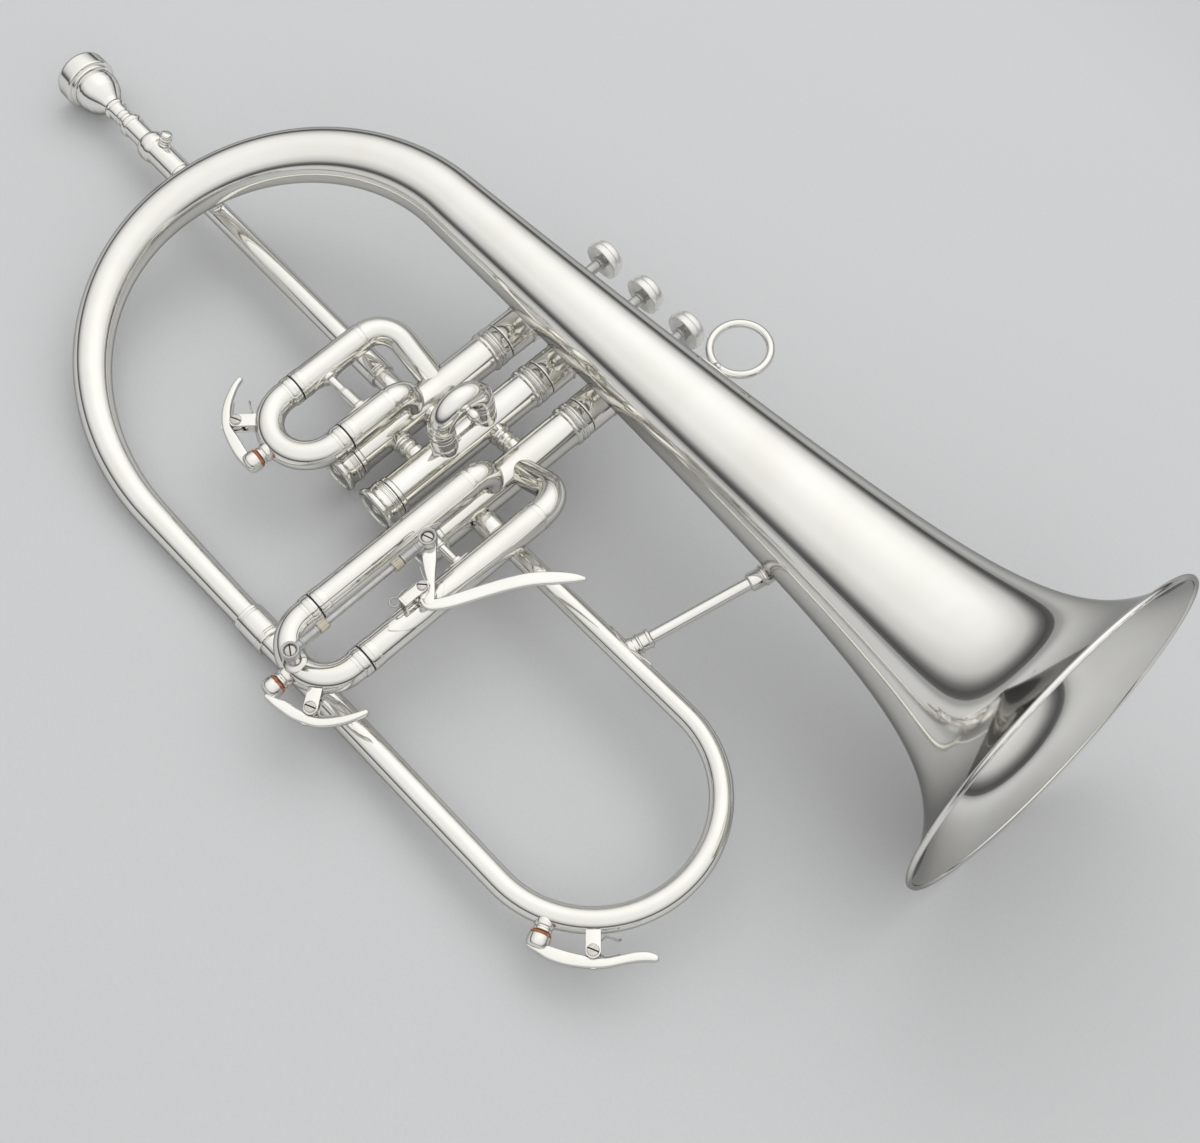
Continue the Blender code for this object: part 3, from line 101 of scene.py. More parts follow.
def facing(base, axis, side=None):
    # a place whose z runs along axis, and whose x keeps as near to side as it can
    axis = Vector(axis).normalized()
    if side is None:
        side = xAxis if abs(axis.x) < 0.9 else yAxis
    across = Vector(side) - axis * axis.dot(Vector(side))
    across.normalize()
    turn = Matrix((across, axis.cross(across), axis)).transposed()
    return Matrix.Translation(Vector(base)) @ turn.to_4x4()


def joinAll(*pieces):
    pick(*pieces)
    if len(pieces) > 1:
        bpy.ops.object.join()
    return bpy.context.object


def copyAcross(piece, offset):
    pick(piece)
    bpy.ops.object.duplicate(linked=False)
    copy = bpy.context.object
    return putAt(copy, Matrix.Translation(Vector(offset)))


def cutAway(piece, tool):
    applyChange(piece, "BOOLEAN", operation="DIFFERENCE", solver="EXACT", object=tool)
    pick(tool)
    bpy.ops.object.delete()
    return cleanUp(piece)


def softened(profile, size, closed=False):
    # every corner of the outline is rounded off by up to size
    count = len(profile)
    made = []
    for index, corner in enumerate(profile):
        if not closed and index in (0, count - 1):
            made.append(tuple(corner))
            continue
        here = Vector(corner)
        back = Vector(profile[index - 1]) - here
        ahead = Vector(profile[(index + 1) % count]) - here
        reach = min(size, back.length * 0.45, ahead.length * 0.45)
        if reach < 0.01:
            made.append(tuple(corner))
            continue
        start = here + back.normalized() * reach
        end = here + ahead.normalized() * reach
        for share in (0.0, 0.3, 0.7, 1.0):
            first = start.lerp(here, share)
            made.append(tuple(first.lerp(here.lerp(end, share), share)))
    return made


def turned(profile, base=(0, 0, 0), axis=(0, 0, 1), steps=56, soft=0.0, closed=False, knurl=None):
    points = softened(profile, soft, closed) if soft else [tuple(spot) for spot in profile]
    if closed:
        points.append(points[0])
    clearPick()
    bpy.ops.mesh.primitive_plane_add(size=1)
    piece = bpy.context.object
    bpy.ops.object.mode_set(mode="EDIT")
    bpy.ops.mesh.select_all(action="SELECT")
    bpy.ops.mesh.merge(type="CENTER")
    bpy.ops.transform.translate(value=(points[0][0], 0, points[0][1]))
    for start, end in zip(points, points[1:]):
        move = (end[0] - start[0], 0, end[1] - start[1])
        bpy.ops.mesh.extrude_vertices_move(TRANSFORM_OT_translate={"value": move})
    bpy.ops.mesh.select_all(action="SELECT")
    bpy.ops.mesh.spin(steps=steps, angle=2 * math.pi, center=(0, 0, 0), axis=(0, 0, 1))
    cleanUp(piece)
    if knurl:
        low, high, depth = knurl
        bpy.ops.object.mode_set(mode="EDIT")
        bpy.ops.mesh.select_mode(type="VERT")
        bpy.ops.mesh.select_all(action="DESELECT")
        bpy.ops.object.mode_set(mode="OBJECT")
        widest = 0.0
        for spot in piece.data.vertices:
            turnShare = math.atan2(spot.co.y, spot.co.x) / (2 * math.pi) * steps
            if low <= spot.co.z <= high and round(turnShare) % 2:
                spot.select = True
                widest = max(widest, spot.co.xy.length)
        bpy.ops.object.mode_set(mode="EDIT")
        shrink = 1 - depth / max(widest, 0.1)
        bpy.ops.transform.resize(value=(shrink, shrink, 1), center_override=(0, 0, 0))
        bpy.ops.object.mode_set(mode="OBJECT")
    return putAt(piece, facing(base, axis))


def runsAlong(points):
    runs = [0.0]
    for start, end in zip(points, points[1:]):
        runs.append(runs[-1] + (end - start).length)
    return runs


def valueAt(stations, at):
    if at <= stations[0][0]:
        return stations[0][1]
    for (low, first), (high, second) in zip(stations, stations[1:]):
        if at <= high:
            return first + (second - first) * (at - low) / max(high - low, 1e-9)
    return stations[-1][1]


def drawTube(path, sizes, sides=40, wall=0.0, caps=True):
    # sizes is one radius, or (distance, radius) stations along the path
    points = [Vector(spot) for spot in path]
    runs = runsAlong(points)
    stations = sizes if isinstance(sizes, list) else [(0.0, sizes)]
    marks = [at for at, radius in stations if 0 <= at <= runs[-1]]
    marks += [run for run in runs if all(abs(run - mark) > 0.015 for mark in marks)]
    marks.sort()
    clearPick()
    bpy.ops.curve.primitive_nurbs_path_add()
    piece = bpy.context.object
    curve = piece.data
    curve.splines.clear()
    line = curve.splines.new("POLY")
    line.points.add(len(marks) - 1)
    leg = 0
    for spot, mark in zip(line.points, marks):
        while leg < len(runs) - 2 and mark > runs[leg + 1]:
            leg += 1
        share = (mark - runs[leg]) / max(runs[leg + 1] - runs[leg], 1e-9)
        spot.co = (*points[leg].lerp(points[leg + 1], share), 1.0)
        spot.radius = valueAt(stations, mark)
    curve.dimensions = "3D"
    curve.bevel_depth = 1.0
    curve.bevel_resolution = sides // 2 - 2
    curve.use_fill_caps = caps and not wall
    bpy.ops.object.convert(target="MESH")
    piece = cleanUp(bpy.context.object)
    if wall:
        applyChange(piece, "SOLIDIFY", thickness=wall, offset=-1.0)
    return piece


def cutPlate(outline, thickness, edge=0.3, low=0.0, holes=()):
    clearPick()
    bpy.ops.curve.primitive_nurbs_path_add()
    piece = bpy.context.object
    curve = piece.data
    curve.splines.clear()
    curve.dimensions = "2D"
    for shape in (outline, *holes):
        line = curve.splines.new("POLY")
        line.points.add(len(shape) - 1)
        for spot, place in zip(line.points, shape):
            spot.co = (place[0], place[1], 0.0, 1.0)
        line.use_cyclic_u = True
    curve.fill_mode = "BOTH"
    curve.extrude = thickness / 2 - edge
    curve.bevel_depth = edge
    curve.bevel_resolution = 3
    curve.offset = -edge
    bpy.ops.object.convert(target="MESH")
    piece = cleanUp(bpy.context.object)
    return putAt(piece, Matrix.Translation((0, 0, low + thickness / 2)))


def smoothLine(points, per=6):
    # a flowing line through all the points
    spots = [Vector(spot) for spot in points]
    spots = [2 * spots[0] - spots[1]] + spots + [2 * spots[-1] - spots[-2]]
    made = []
    for before, start, end, after in zip(spots, spots[1:], spots[2:], spots[3:]):
        for step in range(per):
            t = step / per
            made.append(0.5 * (2 * start + (end - before) * t
                               + (2 * before - 5 * start + 4 * end - after) * t * t
                               + (3 * start - before - 3 * end + after) * t ** 3))
    return made + [spots[-2]]


def stripOutline(line, widths, per=6):
    # an outline with the given half widths on both sides of a flowing flat line
    marked = smoothLine([(spot[0], spot[1], width) for spot, width in zip(line, widths)], per)
    left, right, runs = [], [], []
    for index, spot in enumerate(marked):
        before, after = marked[max(index - 1, 0)], marked[min(index + 1, len(marked) - 1)]
        run = (after - before).xy.normalized()
        side = Vector((-run.y, run.x)) * spot.z
        runs.append(run)
        left.append(tuple(spot.xy + side))
        right.append(tuple(spot.xy - side))
    return left + roundEnd(marked[-1], runs[-1]) + right[::-1] + roundEnd(marked[0], -runs[0])


def roundEnd(spot, run, count=8):
    side = Vector((-run.y, run.x))
    angles = [math.pi * i / count for i in range(1, count)]
    return [tuple(spot.xy + (side * math.cos(angle) + run * math.sin(angle)) * spot.z) for angle in angles]


def roundedPath(corners, radius, count=12):
    corners = [Vector(corner) for corner in corners]
    points = [corners[0]]
    for before, corner, after in zip(corners, corners[1:], corners[2:]):
        toStart, toEnd = (before - corner).normalized(), (after - corner).normalized()
        half = toStart.angle(toEnd) / 2
        middle = (toStart + toEnd).normalized()
        centre = corner + middle * radius / math.sin(half)
        first = (corner + toStart * radius / math.tan(half) - centre).normalized()
        second = (-middle - first * first.dot(-middle)).normalized()
        points += arcPoints(centre, radius, first, second, math.pi - 2 * half, count)
    return points + [corners[-1]]


def arcPoints(centre, radius, first, second, sweep, count):
    return [centre + radius * (first * math.cos(sweep * i / count) + second * math.sin(sweep * i / count))
            for i in range(count + 1)]


def wrapPlate(surface, halfLength, halfWidth, thickness=0.5, power=1.5, tip=0.0):
    # a thin pointed plate bent onto a surface given as surface(along, around)
    clearPick()
    bpy.ops.mesh.primitive_grid_add(x_subdivisions=28, y_subdivisions=12, size=2)
    piece = bpy.context.object
    for spot in piece.data.vertices:
        along = spot.co.x
        width = halfWidth * (tip + (1 - tip) * (1 - abs(along) ** power))
        spot.co = surface(along * halfLength, spot.co.y * width)
    cleanUp(piece)
    outSide = surface(0, 0)
    middle = surface.middle
    facingIn = sum(face.normal.dot(outSide - middle) for face in piece.data.polygons) < 0
    if facingIn:
        pick(piece)
        bpy.ops.object.mode_set(mode="EDIT")
        bpy.ops.mesh.select_all(action="SELECT")
        bpy.ops.mesh.flip_normals()
        bpy.ops.object.mode_set(mode="OBJECT")
    applyChange(piece, "SOLIDIFY", thickness=thickness + 0.3, offset=-1.0 + 2 * thickness / (thickness + 0.3))
    return applyChange(piece, "BEVEL", width=0.18, segments=2, limit_method="ANGLE", angle_limit=0.9)


class tubeSkin:
    # the skin of a straight tube, as along and around distances from a point on it
    def __init__(self, middle, axis, out, radius):
        self.middle, self.axis = Vector(middle), Vector(axis).normalized()
        out = Vector(out)
        self.out = (out - self.axis * out.dot(self.axis)).normalized()
        self.side = self.axis.cross(self.out)
        self.radius = radius

    def __call__(self, along, around):
        turn = around / self.radius
        lift = self.out * math.cos(turn) + self.side * math.sin(turn)
        return self.middle + self.axis * along + lift * self.radius


def withGrooves(length, outer, grooves, depth=0.18, width=0.35):
    # the outside of a band from end to end, with fine turned lines
    made = [(outer - 0.3, 0.0), (outer, 0.3)]
    for at in grooves:
        made += [(outer, at - width), (outer - depth, at - width * 0.3),
                 (outer - depth, at + width * 0.3), (outer, at + width)]
    return made + [(outer, length - 0.3), (outer - 0.3, length)]


def bandRing(base, axis, inner, outer, length, grooves=(), steps=56):
    profile = withGrooves(length, outer, grooves) + [(inner, length), (inner, 0.0)]
    return turned(profile, base, axis, steps, closed=True)


def slotScrew(radius, height, base, axis, side, dome=0.35, slotWidth=0.9):
    # a screw head with a sawn slot
    profile = [(0, 0), (radius, 0), (radius, height - dome), (radius * 0.72, height - dome * 0.25),
               (0, height)]
    head = turned(profile, steps=40, soft=0.3)
    clearPick()
    bpy.ops.mesh.primitive_cube_add(size=1)
    saw = putAt(bpy.context.object, Matrix.Translation((0, 0, height))
                @ Matrix.Diagonal((radius * 3, slotWidth, height * 0.9, 1)))
    cutAway(head, saw)
    head.data.materials.append(nickelScrew)
    head.data.materials.append(slotShade)
    for face in head.data.polygons:
        inSlot = abs(face.center.y) < slotWidth * 0.52 and max(abs(face.normal.y), abs(face.normal.z)) > 0.9
        face.material_index = 1 if inSlot and height * 0.3 < face.center.z < height * 0.95 else 0
    return putAt(head, facing(base, axis, side))


# finishes
def startFinish(name):
    finish = bpy.data.materials.new(name)
    finish.use_nodes = True
    nodes, links = finish.node_tree.nodes, finish.node_tree.links
    place = nodes.new("ShaderNodeTexCoord").outputs["Object"]
    return finish, nodes, links, nodes["Principled BSDF"], place


def addNoise(nodes, links, place, scale, detail=3.0, stretch=None, distortion=0.0):
    noise = nodes.new("ShaderNodeTexNoise")
    noise.inputs["Scale"].default_value = scale
    noise.inputs["Detail"].default_value = detail
    noise.inputs["Distortion"].default_value = distortion
    if stretch:
        mapping = nodes.new("ShaderNodeMapping")
        mapping.inputs["Scale"].default_value = stretch
        links.new(place, mapping.inputs["Vector"])
        place = mapping.outputs["Vector"]
    links.new(place, noise.inputs["Vector"])
    return noise.outputs[0]


def addRamp(nodes, links, value, stops):
    ramp = nodes.new("ShaderNodeValToRGB")
    bar = ramp.color_ramp.elements
    while len(bar) < len(stops):
        bar.new(0.5)
    for stop, (at, colour) in zip(bar, stops):
        stop.position = at
        stop.color = (*colour, 1.0)
    links.new(value, ramp.inputs["Fac"])
    return ramp.outputs["Color"]


def addRange(nodes, links, value, low, high):
    span = nodes.new("ShaderNodeMapRange")
    span.inputs["From Min"].default_value = 0.3
    span.inputs["From Max"].default_value = 0.7
    span.inputs["To Min"].default_value = low
    span.inputs["To Max"].default_value = high
    links.new(value, span.inputs["Value"])
    return span.outputs["Result"]


def addBump(nodes, links, shader, height, strength, distance):
    bump = nodes.new("ShaderNodeBump")
    bump.inputs["Strength"].default_value = strength
    bump.inputs["Distance"].default_value = distance
    links.new(height, bump.inputs["Height"])
    links.new(bump.outputs["Normal"], shader.inputs["Normal"])


def metalFinish(name, dark, light, rough, cloudScale, buff, ripple, edge=1.0):
    finish, nodes, links, shader, place = startFinish(name)
    clouds = addNoise(nodes, links, place, cloudScale, 4.0, distortion=0.6)
    streaks = addNoise(nodes, links, place, buff[0], 2.0, stretch=buff[1])
    mixed = nodes.new("ShaderNodeMath")
    mixed.operation = "MULTIPLY_ADD"
    mixed.inputs[1].default_value = buff[2]
    links.new(streaks, mixed.inputs[0])
    links.new(clouds, mixed.inputs[2])
    links.new(addRamp(nodes, links, clouds, [(0.3, dark), (0.72, light)]), shader.inputs["Base Color"])
    links.new(addRange(nodes, links, mixed.outputs[0], *rough), shader.inputs["Roughness"])
    shader.inputs["Metallic"].default_value = 1.0
    shader.inputs["Specular Tint"].default_value = (edge, edge, edge, 1.0)  # what is left at a glancing angle
    addBump(nodes, links, shader, streaks, ripple[0], ripple[1])
    return finish


silverPlate = metalFinish("polishedSilverPlate", (0.90, 0.885, 0.835), (0.955, 0.945, 0.905), (0.035, 0.085),
                          38.0, (420.0, (1.0, 0.25, 0.6), 0.25), (0.012, 0.0002), edge=0.4)
satinSilver = metalFinish("satinButtonSilver", (0.88, 0.87, 0.83), (0.95, 0.94, 0.91), (0.26, 0.38),
                          120.0, (1500.0, (1.0, 0.2, 1.0), 0.4), (0.05, 0.0002))
nickelScrew = metalFinish("nickelScrew", (0.60, 0.58, 0.54), (0.74, 0.72, 0.68), (0.14, 0.26),
                          300.0, (2200.0, (1.0, 0.3, 1.0), 0.4), (0.06, 0.0002))
satinRod = metalFinish("satinGreyRod", (0.52, 0.52, 0.51), (0.66, 0.655, 0.64), (0.24, 0.36),
                       240.0, (1800.0, (0.3, 1.0, 1.0), 0.5), (0.08, 0.0002))
brassNut = metalFinish("brassGreyNut", (0.58, 0.53, 0.42), (0.72, 0.67, 0.56), (0.2, 0.32),
                       320.0, (2400.0, (1.0, 0.3, 1.0), 0.4), (0.06, 0.0002))
pistonMetal = metalFinish("honedPistonMetal", (0.62, 0.61, 0.57), (0.74, 0.73, 0.69), (0.12, 0.24),
                          160.0, (2600.0, (0.15, 1.0, 0.15), 0.5), (0.05, 0.0002))
slotShade = metalFinish("slotShade", (0.07, 0.058, 0.042), (0.15, 0.125, 0.09), (0.4, 0.55),
                        300.0, (1500.0, (1.0, 0.3, 1.0), 0.4), (0.06, 0.0002))
springWire = metalFinish("springWire", (0.46, 0.46, 0.45), (0.62, 0.62, 0.60), (0.2, 0.34),
                         400.0, (2000.0, (1.0, 1.0, 0.3), 0.4), (0.06, 0.0002))


def corkFinish():
    finish, nodes, links, shader, place = startFinish("redBrownCork")
    cells = nodes.new("ShaderNodeTexVoronoi")
    cells.inputs["Scale"].default_value = 1400.0
    links.new(place, cells.inputs["Vector"])
    grain = addNoise(nodes, links, place, 700.0, 4.0)
    links.new(addRamp(nodes, links, grain, [(0.3, (0.20, 0.065, 0.03)), (0.55, (0.42, 0.16, 0.075)),
                                            (0.75, (0.56, 0.27, 0.14))]), shader.inputs["Base Color"])
    links.new(addRange(nodes, links, grain, 0.65, 0.85), shader.inputs["Roughness"])
    addBump(nodes, links, shader, cells.outputs["Distance"], 0.4, 0.0003)
    return finish


# near-black finish for the rings in the slide gaps: painted shade of the gaps between sleeves and crooks
def gapShadeFinish():
    finish, nodes, links, shader, place = startFinish("paintedGapShade")
    grain = addNoise(nodes, links, place, 900.0, 3.0)
    links.new(addRamp(nodes, links, grain, [(0.3, (0.008, 0.008, 0.009)), (0.7, (0.03, 0.03, 0.032))]),
              shader.inputs["Base Color"])
    links.new(addRange(nodes, links, grain, 0.35, 0.55), shader.inputs["Roughness"])
    addBump(nodes, links, shader, grain, 0.15, 0.0002)
    return finish


redCork, gapShade = corkFinish(), gapShadeFinish()


def settle(piece, name, body, finish, *nodes, angle=32):
    # from millimetres in the horn's axes to its place in the frame
    putAt(piece, hornPlace)
    bpy.ops.object.shade_smooth_by_angle(angle=math.radians(angle))
    piece.name = piece.data.name = name
    if slotShade.name not in piece.data.materials:
        piece.data.materials.clear()
        piece.data.materials.append(finish)
        for face in piece.data.polygons:
            face.material_index = 0
    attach(piece, body)
    if nodes:
        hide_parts(*nodes)
    return piece


print("finishes made")

# bell, bow and tail: one tapering tube
bellSet = {"rimRadius": 78.0, "flareOffset": 8.0, "flarePower": 0.389, "taperStart": 120.0, "taper": 0.017,
           "taperBlend": 30.0, "ringCrowd": 2.6, "rimFade": 6.0, "length": 341.0, "bowReach": 432.0,
           "bowMiddle": -88.0, "bowEndX": -325.0, "tailY": -182.0, "tailEndX": -253.0, "tailRadius": 5.9,
           "bowPower": 1.4, "valveZ": -30.0, "wall": 0.9, "sides": 112, "flareRings": 90, "bowRings": 84,
           "rimLift": 2.3, "rimBead": 1.25}


def bellRadius(distance):
    past = distance - bellSet["taperStart"]
    flare = (1 + distance / bellSet["flareOffset"]) ** -bellSet["flarePower"]
    blend = past + math.hypot(past, bellSet["taperBlend"])
    return bellSet["rimRadius"] * flare - bellSet["taper"] * 0.5 * blend


def bowOutline(share):
    angle = math.pi * share
    if math.cos(angle) > 0:
        startX, y = -bellSet["length"], bellSet["bowMiddle"] * (1 - math.cos(angle))
    else:
        startX = bellSet["bowEndX"]
        y = bellSet["bowMiddle"] - (bellSet["tailY"] - bellSet["bowMiddle"]) * math.cos(angle)
    return startX - (bellSet["bowReach"] + startX) * math.sin(angle), y


bowFlat = [Vector((*bowOutline(i / bellSet["bowRings"]), 0.0)) for i in range(bellSet["bowRings"] + 1)]
tailEnd = Vector((bellSet["tailEndX"], bellSet["tailY"], 0.0))
bowFlat += [bowFlat[-1].lerp(tailEnd, i / 8) for i in range(1, 9)]
bowRuns = runsAlong(bowFlat)


def bowRadius(run):
    start, end = bellRadius(bellSet["length"]), bellSet["tailRadius"]
    return end + (start - end) * (1 - run / bowRuns[-1]) ** bellSet["bowPower"]


def bowZ(run):
    share = run / bowRuns[-1]
    return bellSet["valveZ"] * share * share * (3 - 2 * share)


bowPath = [Vector((spot.x, spot.y, bowZ(run))) for spot, run in zip(bowFlat, bowRuns)]
flareShares = [i / bellSet["flareRings"] for i in range(bellSet["flareRings"] + 1)]
flareMarks = [bellSet["length"] * share ** bellSet["ringCrowd"] for share in flareShares]
bellLifts = [bellSet["rimLift"] * math.exp(-mark / bellSet["rimFade"]) for mark in flareMarks]
bellPath = [Vector((-mark + lift, 0.0, 0.0)) for mark, lift in zip(flareMarks, bellLifts)]
bellSizes = [bellRadius(mark) for mark in flareMarks] + [bowRadius(run) for run in bowRuns[1:]]
bellPath += bowPath[1:]
bell = drawTube(bellPath, list(zip(runsAlong(bellPath), bellSizes)), sides=bellSet["sides"],
                wall=bellSet["wall"])
settle(bell, "bellBody", "horn", silverPlate, "bell", angle=50)

beadCentre = (bellSet["rimRadius"] - 1.2, 2.1)
beadSection = [(beadCentre[0] + bellSet["rimBead"] * math.cos(math.pi * i / 8),
                beadCentre[1] + bellSet["rimBead"] * math.sin(math.pi * i / 8)) for i in range(16)]
settle(turned(beadSection, axis=xAxis, steps=144, closed=True), "bellRimRoll", "horn", silverPlate,
       "bell_rim_bead")

tailSet = {"start": -261.0, "length": 16.0, "inner": 5.7, "outer": 7.0, "lines": (1.8, 2.9, 13.1, 14.2)}
tailBand = bandRing((tailSet["start"], bellSet["tailY"], bellSet["valveZ"]), xAxis, tailSet["inner"],
                    tailSet["outer"], tailSet["length"], tailSet["lines"])
settle(tailBand, "tailFerruleBand", "horn", silverPlate, "tail_ferrule")
print("bell and bow made")

# lower loop back to the third valve
lowerSet = {"startX": -252.7, "bendX": -107.0, "returnY": -84.0, "endX": -228.0, "startRadius": 5.9,
            "endRadius": 4.2, "sides": 48}
lowerCentre = Vector((lowerSet["bendX"], (bellSet["tailY"] + lowerSet["returnY"]) / 2, bellSet["valveZ"]))
lowerBend = (lowerSet["returnY"] - bellSet["tailY"]) / 2
lowerPath = [Vector((lowerSet["startX"], bellSet["tailY"], bellSet["valveZ"]))]
lowerPath += arcPoints(lowerCentre, lowerBend, -yAxis, xAxis, math.pi, 48)
lowerPath += [Vector((lowerSet["endX"] - 4.0, lowerSet["returnY"], bellSet["valveZ"]))]
lowerLength = runsAlong(lowerPath)[-1]
lowerSizes = [(0.0, lowerSet["startRadius"]), (lowerLength, lowerSet["endRadius"])]


def lowerRadiusAt(x):
    run = lowerLength - (x - lowerPath[-1].x)
    return valueAt(lowerSizes, run)


# room cut for a casing where a tube meets it
casingRoom = {"radius": 7.9, "depth": 140, "middleY": -62.0}


def casingTool(x):
    clearPick()
    bpy.ops.mesh.primitive_cylinder_add(vertices=96, radius=casingRoom["radius"], depth=casingRoom["depth"])
    return putAt(bpy.context.object, facing((x, casingRoom["middleY"], bellSet["valveZ"]), yAxis))


valveX = (-288.5, -262.5, -236.5)
lowerTube = cutAway(drawTube(lowerPath, lowerSizes, sides=lowerSet["sides"]), casingTool(valveX[2]))
settle(lowerTube, "lowerLoopTube", "horn", silverPlate, "lower_bow", angle=50)
outletSet = {"start": -227.2, "inner": 4.1, "outer": 5.6, "length": 11.2, "lines": (1.6, 2.6, 8.8, 9.8)}
outletBand = bandRing((outletSet["start"], lowerSet["returnY"], bellSet["valveZ"]), xAxis, outletSet["inner"],
                      outletSet["outer"], outletSet["length"], outletSet["lines"])
settle(outletBand, "outletFerruleBand", "horn", silverPlate, "outlet_ferrule")
print("lower loop made")

# valves: casing, caps, button, stem and spring are modelled on the first valve and copied
valveSet = {"springRadius": 5.4, "wire": 0.45, "springLow": -112.3, "springHigh": -88.3, "springTurns": 9,
            "turnSteps": 24}
valveBase = Vector((valveX[0], 0.0, bellSet["valveZ"]))
casingProfile = [
    (7.3, -104.0), (8.6, -104.0), (8.85, -103.7), (8.85, -102.2), (8.6, -101.8), (8.25, -101.6),
    (8.25, -30.0), (8.6, -29.85), (9.1, -29.4), (9.3, -28.9), (9.3, -28.3), (9.1, -27.8), (8.6, -27.4),
    (8.5, -26.6), (8.9, -26.45), (9.2, -26.0), (9.2, -25.6), (8.9, -25.15), (8.9, -25.0), (9.2, -24.7),
    (9.2, -24.2), (8.9, -23.8), (8.75, -23.6), (8.75, -21.3), (8.5, -21.0), (7.3, -21.0)]
topCapProfile = [
    (7.7, -20.7), (8.6, -20.7), (8.9, -20.3), (8.9, -9.6), (8.7, -9.3), (8.7, -8.9), (9.35, -8.6),
    (9.35, -5.2), (9.0, -4.8), (8.0, -3.8), (6.0, -2.4), (4.4, -1.6), (3.9, -0.7), (2.8, -0.7), (2.8, -2.8),
    (5.5, -4.2), (7.4, -6.6), (7.7, -9.0)]
bottomCapProfile = [
    (7.6, -104.3), (8.7, -104.3), (9.0, -104.6), (9.0, -105.2), (9.35, -105.4), (9.45, -105.7),
    (9.35, -106.0), (9.05, -106.15), (9.05, -106.75), (9.35, -106.9), (9.45, -107.2), (9.35, -107.5),
    (9.1, -107.7), (9.1, -109.2), (9.3, -110.2), (9.8, -111.1), (10.3, -111.7), (10.45, -112.4),
    (10.3, -113.2), (9.8, -113.8), (9.2, -113.95), (8.75, -113.7), (8.5, -113.2), (7.6, -112.95),
    (5.0, -112.85), (2.6, -112.95), (2.3, -113.4), (1.7, -113.5), (1.3, -113.2), (1.3, -112.4),
    (7.4, -112.35), (7.6, -111.8)]
stemProfile = [(0, -29.7), (2.9, -29.7), (2.9, -28.4), (2.6, -28.0), (2.6, 36.4), (3.3, 36.9), (3.3, 38.6),
               (2.9, 39.2), (2.9, 41.6), (0, 41.6)]
buttonProfile = [
    (0, 41.0), (3.2, 40.9), (6.0, 40.4), (7.3, 39.5), (8.0, 38.6), (8.5, 38.3), (8.9, 38.8), (8.95, 40.9),
    (8.75, 41.7), (8.35, 42.0), (8.25, 42.6), (8.2, 43.6), (7.8, 44.7), (6.9, 45.5), (5.6, 45.9), (3.0, 46.0),
    (0, 46.0)]
casing1 = turned(casingProfile, valveBase, yAxis, steps=72, soft=0.25, closed=True)
topCap1 = turned(topCapProfile, valveBase, yAxis, steps=96, soft=0.25, closed=True, knurl=(-8.65, -5.1, 0.22))
bottomCap1 = turned(bottomCapProfile, valveBase, yAxis, steps=80, soft=0.2, closed=True)
stem1 = turned(stemProfile, valveBase, yAxis, steps=40, soft=0.25)
button1 = turned(buttonProfile, valveBase, yAxis, steps=72, soft=0.35)
springSteps = valveSet["springTurns"] * valveSet["turnSteps"]
springPath = []
for step in range(springSteps + 1):
    angle = 2 * math.pi * step / valveSet["turnSteps"]
    share = step / springSteps
    lift = min(max((share - 0.08) / 0.84, 0.0), 1.0)  # closed end coils
    y = valveSet["springLow"] + 0.5 + (valveSet["springHigh"] - valveSet["springLow"] - 1.0) * lift
    springPath.append(valveBase + Vector((valveSet["springRadius"] * math.cos(angle), y,
                                          valveSet["springRadius"] * math.sin(angle))))
spring1 = drawTube(springPath, valveSet["wire"], sides=8)


def forValve(first, number):
    # the first valve takes the modelled piece itself, the others a copy
    if number == 1:
        return first
    return copyAcross(first, (valveX[number - 1] - valveX[0], 0, 0))


for number in (3, 2, 1):
    settle(forValve(casing1, number), f"valveCase{number}", "horn", silverPlate, f"valve_casing_{number}")
    settle(forValve(topCap1, number), f"topCapKnurled{number}", "horn", silverPlate, f"top_cap_{number}",
           angle=28)
    settle(forValve(bottomCap1, number), f"bottomCapFlared{number}", "horn", silverPlate,
           f"bottom_cap_{number}", angle=28)
    settle(forValve(button1, number), f"fingerButtonHead{number}", f"valve_{number}", satinSilver,
           f"finger_button_{number}")
    settle(forValve(stem1, number), f"fingerButtonStem{number}", f"valve_{number}", satinRod)
    spring = forValve(spring1, number)
    settle(spring, f"valveCoil{number}", "horn", springWire, f"valve_spring_{number}", angle=60)
    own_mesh(spring)
    piston = frame["nodes"][f"piston_{number}"]
    piston.data.materials.clear()
    piston.data.materials.append(pistonMetal)

# knuckles between the casings
knuckleProfile = [(0, 0), (5.0, 0), (5.0, 5.4), (4.7, 5.9), (3.9, 6.2), (3.6, 6.8), (3.6, 7.3), (4.2, 7.7),
                  (4.55, 8.1), (4.55, 9.9), (4.2, 10.3), (3.6, 10.7), (3.6, 11.2), (3.9, 11.8), (4.7, 12.1),
                  (5.0, 12.6), (5.0, 18.0), (0, 18.0)]
for name, node, first, y in (("knuckleLower", "knuckle_1_2_lower", 0, -84.0),
                             ("knuckleUpper", "knuckle_1_2_upper", 0, -66.0),
                             ("knuckleThird", "knuckle_2_3", 1, -52.0)):
    knuckle = turned(knuckleProfile, (valveX[first] + 4.0, y, bellSet["valveZ"]), xAxis, soft=0.2)
    knuckle = cutAway(cutAway(knuckle, casingTool(valveX[first])), casingTool(valveX[first + 1]))
    settle(knuckle, name, "horn", silverPlate, node)
print("valves made")

# leadpipe, tuning shank and mouthpiece on one line
leadSet = {"y": -69.5, "tilt": 1.4, "radius": 4.9, "end": 176.0, "sleeveStart": 166.0, "clampAt": 185.5,
           "shankStart": 176.3, "mouthStart": 191.0, "braceAt": 142.0}
leadTilt = math.radians(leadSet["tilt"])
leadAxis = Vector((-math.cos(leadTilt), math.sin(leadTilt), 0.0))
leadStart = Vector((valveX[0], leadSet["y"], bellSet["valveZ"]))


